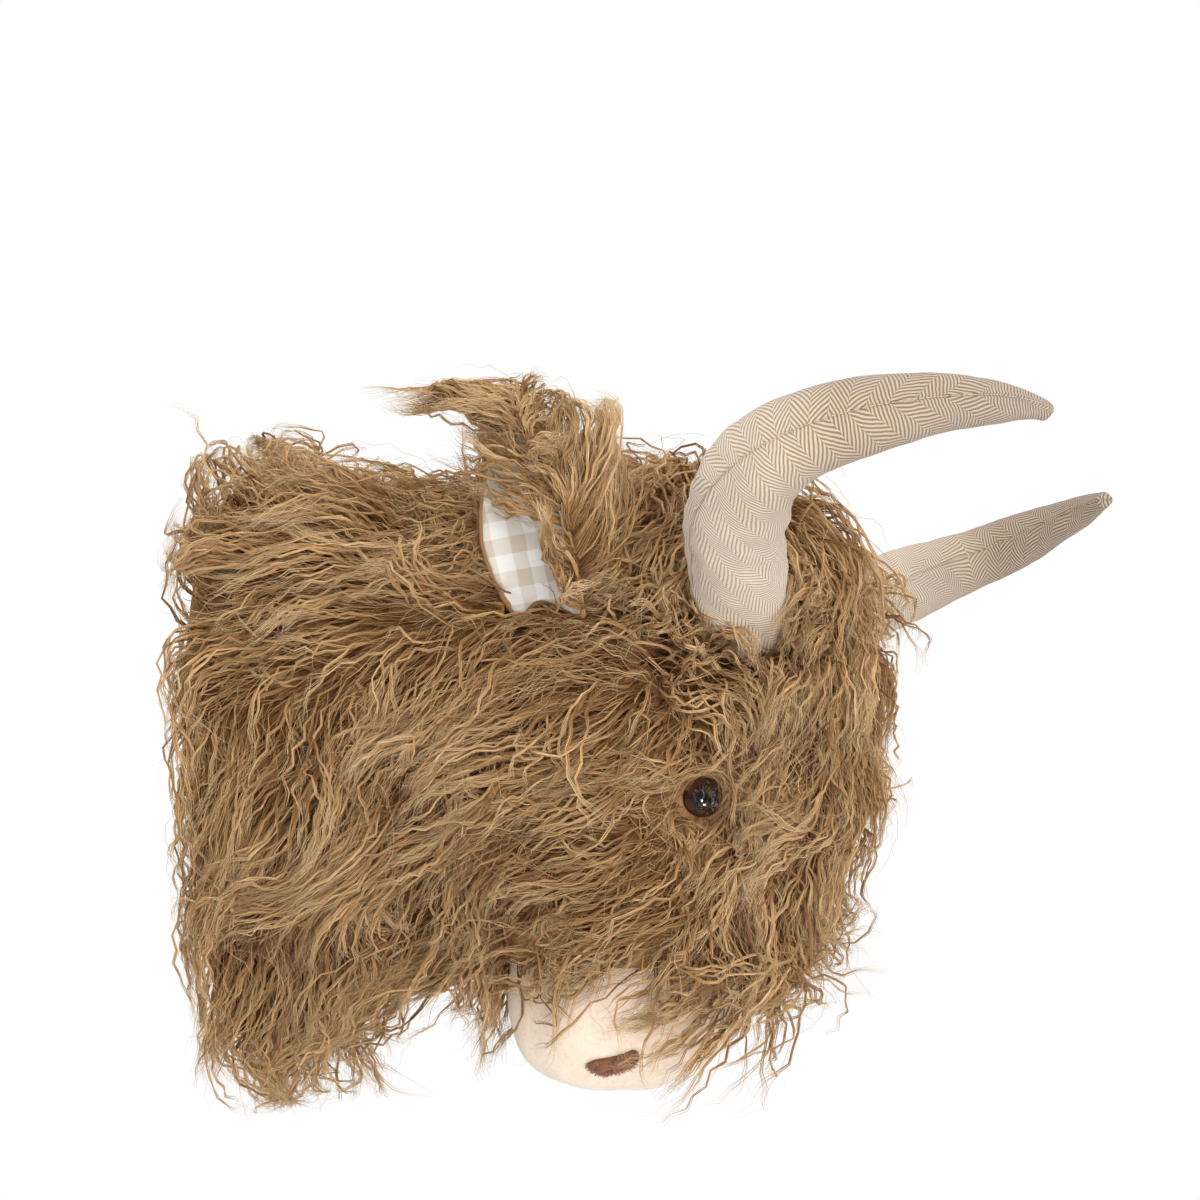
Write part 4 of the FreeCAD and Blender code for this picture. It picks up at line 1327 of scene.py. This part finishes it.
def grow_ear(roots, back, length, rim, rng, steps):
    """Locks on the back of the left ear. The rim ones sweep over the lining."""
    count = len(roots)
    step = length / steps
    group = tuft_cells(roots, 12 * MM)
    tufts = group.max() + 1
    swing = rng.normal(size=(tufts, 3))[group] * 0.5
    turns = rng.uniform(0.5, 1.3, tufts)[group]
    phase = rng.uniform(0, 2 * math.pi, tufts)[group]
    root_across, root_height, _ = ear_depth(roots)
    cover = (rng.uniform(2, 18, count) + 9 * (1 - np.clip(root_height, 0, 1)) * rng.random(count)) * MM
    top = FUR_HIGH - rng.uniform(0, 7 * MM, count) - 14 * MM * smooth(0.0, -0.8, root_across)
    if rim == "fringe":
        heading = EAR_FACE * 0.8 + EAR_UP * 0.3 - EAR_ACROSS * 0.5
    elif rim:
        heading = EAR_FACE * 0.8 + EAR_UP * 0.5 + EAR_ACROSS * 0.5
    else:
        heading = back * 0.9 + EAR_UP * 0.5
    heading = unit(heading + rng.normal(size=(count, 3)) * 0.2)
    p = roots.copy()
    path = [p.copy()]
    for s in range(steps):
        t = (s + 1) / steps
        if rim == "fringe":
            aim = EAR_UP * 0.8 - EAR_ACROSS * 0.2 + EAR_FACE * (0.40 - 0.7 * t) + swing
        elif rim:
            aim = EAR_UP * (0.80 - 0.40 * t) + EAR_ACROSS * (0.85 + 0.3 * t) + EAR_FACE * (0.15 - 0.3 * t)
        else:
            over = smooth(0.15, 0.85, t) * smooth(0.10, 0.65, root_height)[:, None]
            aim = EAR_UP * (1.0 - 0.20 * over) + EAR_ACROSS * (1.05 * over - 0.15) + back * 0.55 * (1 - t)
        aim = aim + swing * np.sin(2 * math.pi * turns * t + phase)[:, None]
        aim = aim + MEDIUM(p) * 0.4 + FINE(p) * 0.2 + np.array([0, 0, -0.18 * t])
        heading = unit(heading * 0.62 + unit(aim) * 0.38 + rng.normal(size=(count, 3)) * 0.04)
        p = p + heading * step[:, None]
        across, height, depth = ear_depth(p)
        near = (np.abs(across) < 0.98) & (height < 0.97) & (height > -0.1)
        away = unit(p - (EAR_ROOT + EAR_FACE * EAR_CUP + EAR_UP * (height * EAR_LENGTH)[:, None]))
        if rim:
            gap = np.where(near & (t > 0.15), depth + 2.0 * MM + cover * 0.25, 0)
            p = p - away * np.maximum(gap, 0)[:, None]
        else:
            wanted = EAR_LINING + EAR_BACK + cover * smooth(0, 0.3, t)
            gap = np.where(near, wanted - depth, 0)
            p = p + away * (np.maximum(gap, 0) * 0.8)[:, None]
        low = 5.5 * MM - BODY(p)
        p = p + BODY.gradient(p) * np.maximum(low, 0)[:, None]
        p = push_off_horns(p)
        p[:, 2] = soft_limit(p[:, 2], FUR_LOW, top, 12 * MM)
        path.append(p.copy())
    return relaxed(np.stack(path, 1))


def ear_fur(side, material):
    rng = np.random.default_rng(61)
    sign = SIDES[side]
    pile = Pile()
    sets = ((False, 460, 5), ("over", 150, 5), ("fringe", 230, 4), (False, 260, 1), ("over", 90, 1))
    for rim, count, strands in sets:
        if rim == "fringe":
            right = np.nonzero((EAR_EDGE[:, 0] < -0.25) & (EAR_EDGE[:, 1] > 0.08))[0]
            edge = EAR_EDGE[rng.choice(right, count)]
            spot = EAR_MIDDLE + (edge - EAR_MIDDLE) * rng.uniform(0.90, 1.0, (count, 1))
        elif rim:
            front = np.nonzero((EAR_EDGE[:, 1] > 0.40) & (EAR_EDGE[:, 0] < 0.45))[0]
            edge = EAR_EDGE[rng.choice(front, count)]
            spot = EAR_MIDDLE + (edge - EAR_MIDDLE) * rng.uniform(0.80, 1.0, (count, 1))
        else:
            edge = EAR_EDGE[rng.integers(0, len(EAR_EDGE), count)]
            spot = EAR_MIDDLE + (edge - EAR_MIDDLE) * np.sqrt(rng.random((count, 1)))
        roots, back = ear_point(spot, EAR_LINING + EAR_BACK - 0.3 * MM)
        across, height, _ = ear_depth(roots)
        shorter = smooth(0.3, -0.7, across) * smooth(0.4, 0.8, height)
        length = rng.uniform(48, 90, count) * MM * mix(1.0, 0.70, shorter)
        if rim == "fringe":
            length = rng.uniform(22, 44, count) * MM
        paths = grow_ear(roots, back, length, rim, rng, STEPS)
        if strands > 1:
            paths, group = clump(paths, rng, 11 * MM, 0.8)
            paths, group = untangled(crimp(paths, rng, 1.2 * MM, 16 * MM) * (sign, 1, 1), group)
            fur_on(pile, paths, group, rng, strands, v_low=0.25)
        else:
            paths, = untangled(crimp(paths, rng, 1.4 * MM, 14 * MM) * (sign, 1, 1))
            wisps_on(pile, paths, rng)
    pile.build("ear_pile_" + side, "ear_" + side, "ear_back_" + side, material, rng)


def build_ear(side, gingham, fur):
    lining = ear_sheet("ear_lining_cloth_" + side, side, 0.0, EAR_LINING, 0.94, 1.0 * MM)
    dress(lining, gingham, "ear_lining_" + side, "ear_" + side)
    back = ear_sheet("ear_back_cloth_" + side, side, EAR_LINING, EAR_LINING + EAR_BACK, 1.0, 0.5 * MM)
    layer = back.data.uv_layers[UV_NAME].data
    layer.foreach_set("uv", np.tile(np.array([0.55, 0.6], np.float32), len(layer)))
    dress(back, fur, "ear_back_" + side, "ear_" + side)
    ear_fur(side, fur)


# ---------------------------------------------------------------- muzzle

MUZZLE_MIDDLE = np.array((0.0, -192.0, -118.0)) * MM
SUEDE = 1.6 * MM
NOSTRIL_CENTRE = np.array((42.0, -196.5, -149.0)) * MM
NOSTRIL_AXIS = unit(np.array((0.76, -0.10, -0.64)))
NOSTRIL_ACROSS = unit(np.cross((0, 0, 1), NOSTRIL_AXIS))
NOSTRIL_UP = np.cross(NOSTRIL_AXIS, NOSTRIL_ACROSS)
NOSTRIL_EDGE = np.array([
    (-11.8, 8.4), (-6.4, 6.6), (-1.6, 5.1), (5.8, 3.5), (11.5, -0.3),
    (9.6, -4.6), (4.4, -7.9), (-0.8, -6.9), (-9.1, -2.6), (-13.4, 4.0),
]) * MM


def grid_normals(points):
    """Normals of a grid of points, from its own rows and columns."""
    return unit(np.cross(np.gradient(points, axis=1), np.gradient(points, axis=0)))


def bump_at(points, centre, reach):
    return np.exp(-(np.linalg.norm((points - centre) / reach, axis=-1)) ** 2)


def muzzle_relief(points):
    """How far the left half's cover stands out of its smooth shape."""
    x = points[..., 0]
    flat = points.reshape(-1, 3)
    shape = points.shape[:-1]
    swell = Waves(24 * MM, seed=71)(flat)[:, 0].reshape(shape) * 0.55 * MM
    nap = Waves(6 * MM, seed=72)(flat)[:, 1].reshape(shape) * 0.10 * MM
    seam = -1.1 * MM * np.exp(-(x / (1.3 * MM)) ** 2) + 0.4 * MM * np.exp(-((x - 4 * MM) / (2.5 * MM)) ** 2)
    cheek = 1.7 * MM * bump_at(points, np.array((53, -198, -131)) * MM, np.array((30, 13, 11)) * MM)
    pucker = 0.0
    for y, z, depth in ((-207, -133, 1.0), (-211, -129, 0.8), (-202, -137, 0.45), (-190, -134, 0.5)):
        centre, reach = np.array((52, y, z)) * MM, np.array((30, 1.3, 7.5)) * MM
        pucker = pucker - depth * MM * bump_at(points, centre, reach)
    dent = -0.8 * MM * bump_at(points, NOSTRIL_CENTRE, np.array((20, 15, 10)) * MM)
    return swell + nap + seam + cheek + pucker + dent


def muzzle_grid(rows, cols):
    """The left half of the muzzle under its cover: rays from its middle, from the chin up."""
    tree = node_tree("muzzle_stuffing")
    polar = np.radians(np.linspace(0.5, 103.5, rows))
    turn = np.radians(np.linspace(-90, 90, cols))
    points = np.empty((rows, cols, 3))
    for i, a in enumerate(polar):
        for j, b in enumerate(turn):
            way = Vector((math.sin(a) * math.cos(b), math.sin(a) * math.sin(b), -math.cos(a)))
            hit = tree.ray_cast(Vector(MUZZLE_MIDDLE), way)[0]
            points[i, j] = hit
    points[:, 0, 0] = 0.0
    points[:, -1, 0] = 0.0
    return points


def muzzle_half(side, grid, material):
    sign = SIDES[side]
    normal = grid_normals(grid)
    if (normal * (grid - MUZZLE_MIDDLE)).sum() < 0:
        normal = -normal
    edge = normal.copy()
    edge[..., 0] *= smooth(0.0, 3 * MM, grid[..., 0])
    normal = unit(edge)
    outer = grid + normal * SUEDE
    outer = outer + normal * muzzle_relief(outer)[..., None]
    inner = grid + normal * (0.1 * MM)
    rows, cols = grid.shape[:2]
    verts = np.concatenate([outer.reshape(-1, 3), inner.reshape(-1, 3)]) * (sign, 1, 1)
    obj = new_object("muzzle_suede_" + side, verts, shell_quads(rows, cols, sign < 0))
    dress(obj, material, "muzzle_cover_" + side)
    return outer


def nostril_patch(side, outer, material, fibre):
    """A ragged half-moon of brushed suede, with its raised fibres."""
    sign = SIDES[side]
    rows, cols = outer.shape[:2]
    faces = shell_quads(rows, cols, False)[: (rows - 1) * (cols - 1)]
    tree = BVHTree.FromPolygons([Vector(v) for v in outer.reshape(-1, 3)],
                                [tuple(map(int, f)) for f in faces])
    rng = np.random.default_rng(81)
    edge = closed_spline(NOSTRIL_EDGE, 12)
    rag = np.convolve(rng.normal(size=len(edge) + 4), np.ones(3) / 3, "valid")[: len(edge)]
    edge = edge * (1 + 0.055 * rag)[:, None]
    rings = 16
    share = np.linspace(0, 1, rings + 1)[1:]
    middle = np.array((0.0, -0.5 * MM))
    circles = middle + (edge[None] - middle) * share[:, None, None]
    flat = np.concatenate([middle[None], circles.reshape(-1, 2)])
    rim = np.concatenate([[0], np.repeat(share, len(edge))])

    def on_muzzle(uv, lift):
        start = NOSTRIL_CENTRE + NOSTRIL_ACROSS * uv[0] + NOSTRIL_UP * uv[1] + NOSTRIL_AXIS * 0.03
        hit = tree.ray_cast(Vector(start), Vector(-NOSTRIL_AXIS))[0]
        return np.array(hit) + NOSTRIL_AXIS * lift

    spot = np.concatenate([flat, np.zeros((len(flat), 1))], 1)
    fold = np.abs(Waves(8 * MM, seed=83)(spot)[:, 0]) * 0.5 + Waves(2.6 * MM, seed=84)(spot)[:, 1] * 0.16
    lift = (0.75 + fold) * MM * smooth(1.02, 0.86, rim) + 0.12 * MM
    front = np.array([on_muzzle(uv, h) for uv, h in zip(flat, lift)])
    back = np.array([on_muzzle(uv, -0.1 * MM) for uv in flat])
    quads, tris = disc_shell(len(edge), rings)
    if sign > 0:
        quads, tris = quads[:, ::-1], tris[:, ::-1]
    obj = new_object("nostril_patch_" + side, np.concatenate([front, back]) * (sign, 1, 1), [quads, tris])
    dress(obj, material, "nostril_" + side)

    count = 1400
    along_edge = edge[rng.integers(0, len(edge), count)]
    root = middle + (along_edge - middle) * np.sqrt(rng.uniform(0.15, 1.0, (count, 1)))
    base = np.array([on_muzzle(uv, 0.6 * MM) for uv in root])
    out = (root - middle) / (12 * MM)
    lean = unit(NOSTRIL_ACROSS * (out[:, :1] + 0.3 * rng.normal(size=(count, 1))) + NOSTRIL_UP * (
        out[:, 1:] - 0.2 + 0.3 * rng.normal(size=(count, 1))) + NOSTRIL_AXIS * 0.35)
    length = rng.uniform(0.9, 2.6, count) * MM
    t = np.linspace(0, 1, 4)[None, :, None]
    paths = base[:, None] + lean[:, None] * (length[:, None, None] * t) - NOSTRIL_AXIS * (0.5 * MM * t ** 2)
    radius = rng.uniform(0.07, 0.14, count) * MM
    v, q, tr, uv = tubes(paths * (sign, 1, 1), radius, rng.uniform(0, 1, count), rng)
    fuzz = new_object("nostril_nap_" + side, v, [q, tr], uv)
    dress(fuzz, fibre, "nostril_" + side)


# ---------------------------------------------------------------- whole scene

def back_felt(material):
    """The thin felt over the back, with the opening for the hanger."""
    verts, tris = mesh_arrays("back_felt")
    felt = soft_copy("felt_sheet", "back_felt", material, "felt", 0.12 * MM, 0.12 * MM, 15 * MM, rounds=3)


def set_material(node, material):
    """Gives a CAD node that stays visible its material."""
    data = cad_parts[node].data
    data.materials.clear()
    data.materials.append(material)


AMBIENT = 0.50
CAMERA_TURN, CAMERA_RISE = math.radians(-72.6), math.radians(-5.44)
CAMERA_DISTANCE = 1.1159
CAMERA_TARGET = Vector((0, -0.178, 0.070))
SENSOR, LENS = 36.0, 68.29
LIGHT_TARGET = Vector((0, -0.2, 0.0))
LIGHTS = (      # name, place, size, power and what it isn't seen by
    ("key", (-1.30, -0.80, 0.34), 0.8, 13.0, "visible_glossy"),
    ("low", (-1.20, -0.95, -0.25), 0.5, 5.0, "visible_glossy"),
    ("spark_high", (-1.12, -0.80, -0.55), 0.22, 14.0, "visible_diffuse"),
    ("spark_low", (-0.47, -0.67, -0.54), 0.15, 8.0, "visible_diffuse"),
    ("far", (0.9, -1.1, 0.5), 0.8, 5.5, None),
    ("top", (-0.35, 0.05, 1.3), 0.8, 7.0, None),
    ("back", (0.2, 0.9, 0.6), 0.8, 3.5, None),
)
FLOOR_HALF, FLOOR_HEIGHT = 2.4, -0.75


def camera_and_light():
    az, el = CAMERA_TURN, CAMERA_RISE
    offset = Vector((math.sin(az) * math.cos(el), -math.cos(az) * math.cos(el), math.sin(el)))
    data = bpy.data.cameras.new("camera")
    data.sensor_width = SENSOR
    data.lens = LENS
    camera = bpy.data.objects.new("camera", data)
    camera.location = CAMERA_TARGET + offset * CAMERA_DISTANCE
    camera.rotation_euler = (-offset).to_track_quat("-Z", "Y").to_euler()
    bpy.context.scene.collection.objects.link(camera)
    bpy.context.scene.camera = camera

    world = bpy.data.worlds.new("studio")
    world.use_nodes = True
    tree = world.node_tree
    seen = tree.nodes.new("ShaderNodeLightPath")
    level = tree.nodes.new("ShaderNodeMapRange")
    level.inputs["To Min"].default_value = AMBIENT
    level.inputs["To Max"].default_value = 1.0
    tree.links.new(seen.outputs["Is Camera Ray"], level.inputs["Value"])
    tree.links.new(level.outputs["Result"], tree.nodes["Background"].inputs["Strength"])
    tree.nodes["Background"].inputs["Color"].default_value = (1.0, 1.0, 1.0, 1)
    bpy.context.scene.world = world
    for name, place, size, power, hidden_from in LIGHTS:
        light = softbox(name, place, size, power)
        if hidden_from:
            setattr(light, hidden_from, False)
    scene = bpy.context.scene
    scene.view_settings.view_transform = "Standard"
    scene.view_settings.look = "None"


def softbox(name, place, size, power):
    light = bpy.data.lights.new(name, "AREA")
    light.size = size
    light.energy = power
    obj = bpy.data.objects.new(name, light)
    obj.location = place
    aim = LIGHT_TARGET - Vector(place)
    obj.rotation_euler = aim.to_track_quat("-Z", "Y").to_euler()
    bpy.context.scene.collection.objects.link(obj)
    return obj


def floor():
    n = Nodes("floor")
    coords = n.place()
    tone = n.noise(coords, 3.0, 3.0)
    colour = n.blend(tone, (0.93, 0.93, 0.925, 1), (0.96, 0.96, 0.955, 1))
    material = n.finish(Base_Color=colour, Roughness=0.9)
    size, z = FLOOR_HALF, FLOOR_HEIGHT
    verts = [(-size, -size, z), (size, -size, z), (size, size, z), (-size, size, z)]
    obj = new_object("floor", verts, np.array([[0, 1, 2, 3]]), smooth_shade=False)
    obj.data.materials.append(material)
    obj.visible_camera = False


def main():
    camera_and_light()
    floor()
    fur = fur_material()
    body_fur(fur)
    horn = horn_material()
    thread = thread_material("horn_thread", srgb(214, 196, 170))
    for side in SIDES:
        build_horn(side, True, horn, thread)
        build_horn(side, False, horn, thread)
    gingham = gingham_material()
    suede = suede_material("muzzle_suede", srgb(240, 220, 200), srgb(222, 194, 166))
    nostril = suede_material("nostril_suede", srgb(134, 86, 53), srgb(78, 45, 24), 700.0, 0.5)
    filling = filling_material()
    metal = metal_material("steel")
    washer = plastic_material("washer", srgb(232, 230, 224), srgb(214, 212, 206), 0.4)
    black = plastic_material("eye_black", (0.006, 0.0055, 0.005, 1), (0.003, 0.003, 0.003, 1), 0.5, 0.02)
    iris = iris_material()
    dome = dome_material()
    set_material("back_board", board_material())
    back_felt(felt_material())
    for node in ("staples", "hanger_strap", "hanger_ring", "hanger_screws"):
        set_material(node, metal)
    nap = nap_material()
    grid = muzzle_grid(*(((84, 90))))
    for node in ("neck", "head", "muzzle"):
        soft = soft_copy(node + "_filling", node + "_stuffing", filling, "stuffing", 1.4 * MM, 0.9 * MM,
                         21 * MM)
    for side in SIDES:
        horn_filling(side, filling)
        set_material("eye_core_" + side, black)
        set_material("eye_iris_" + side, iris)
        set_material("eye_dome_" + side, dome)
        set_material("eye_washer_" + side, washer)
        build_ear(side, gingham, fur)
        outer = muzzle_half(side, grid, suede)
        nostril_patch(side, outer, nostril, nap)


main()
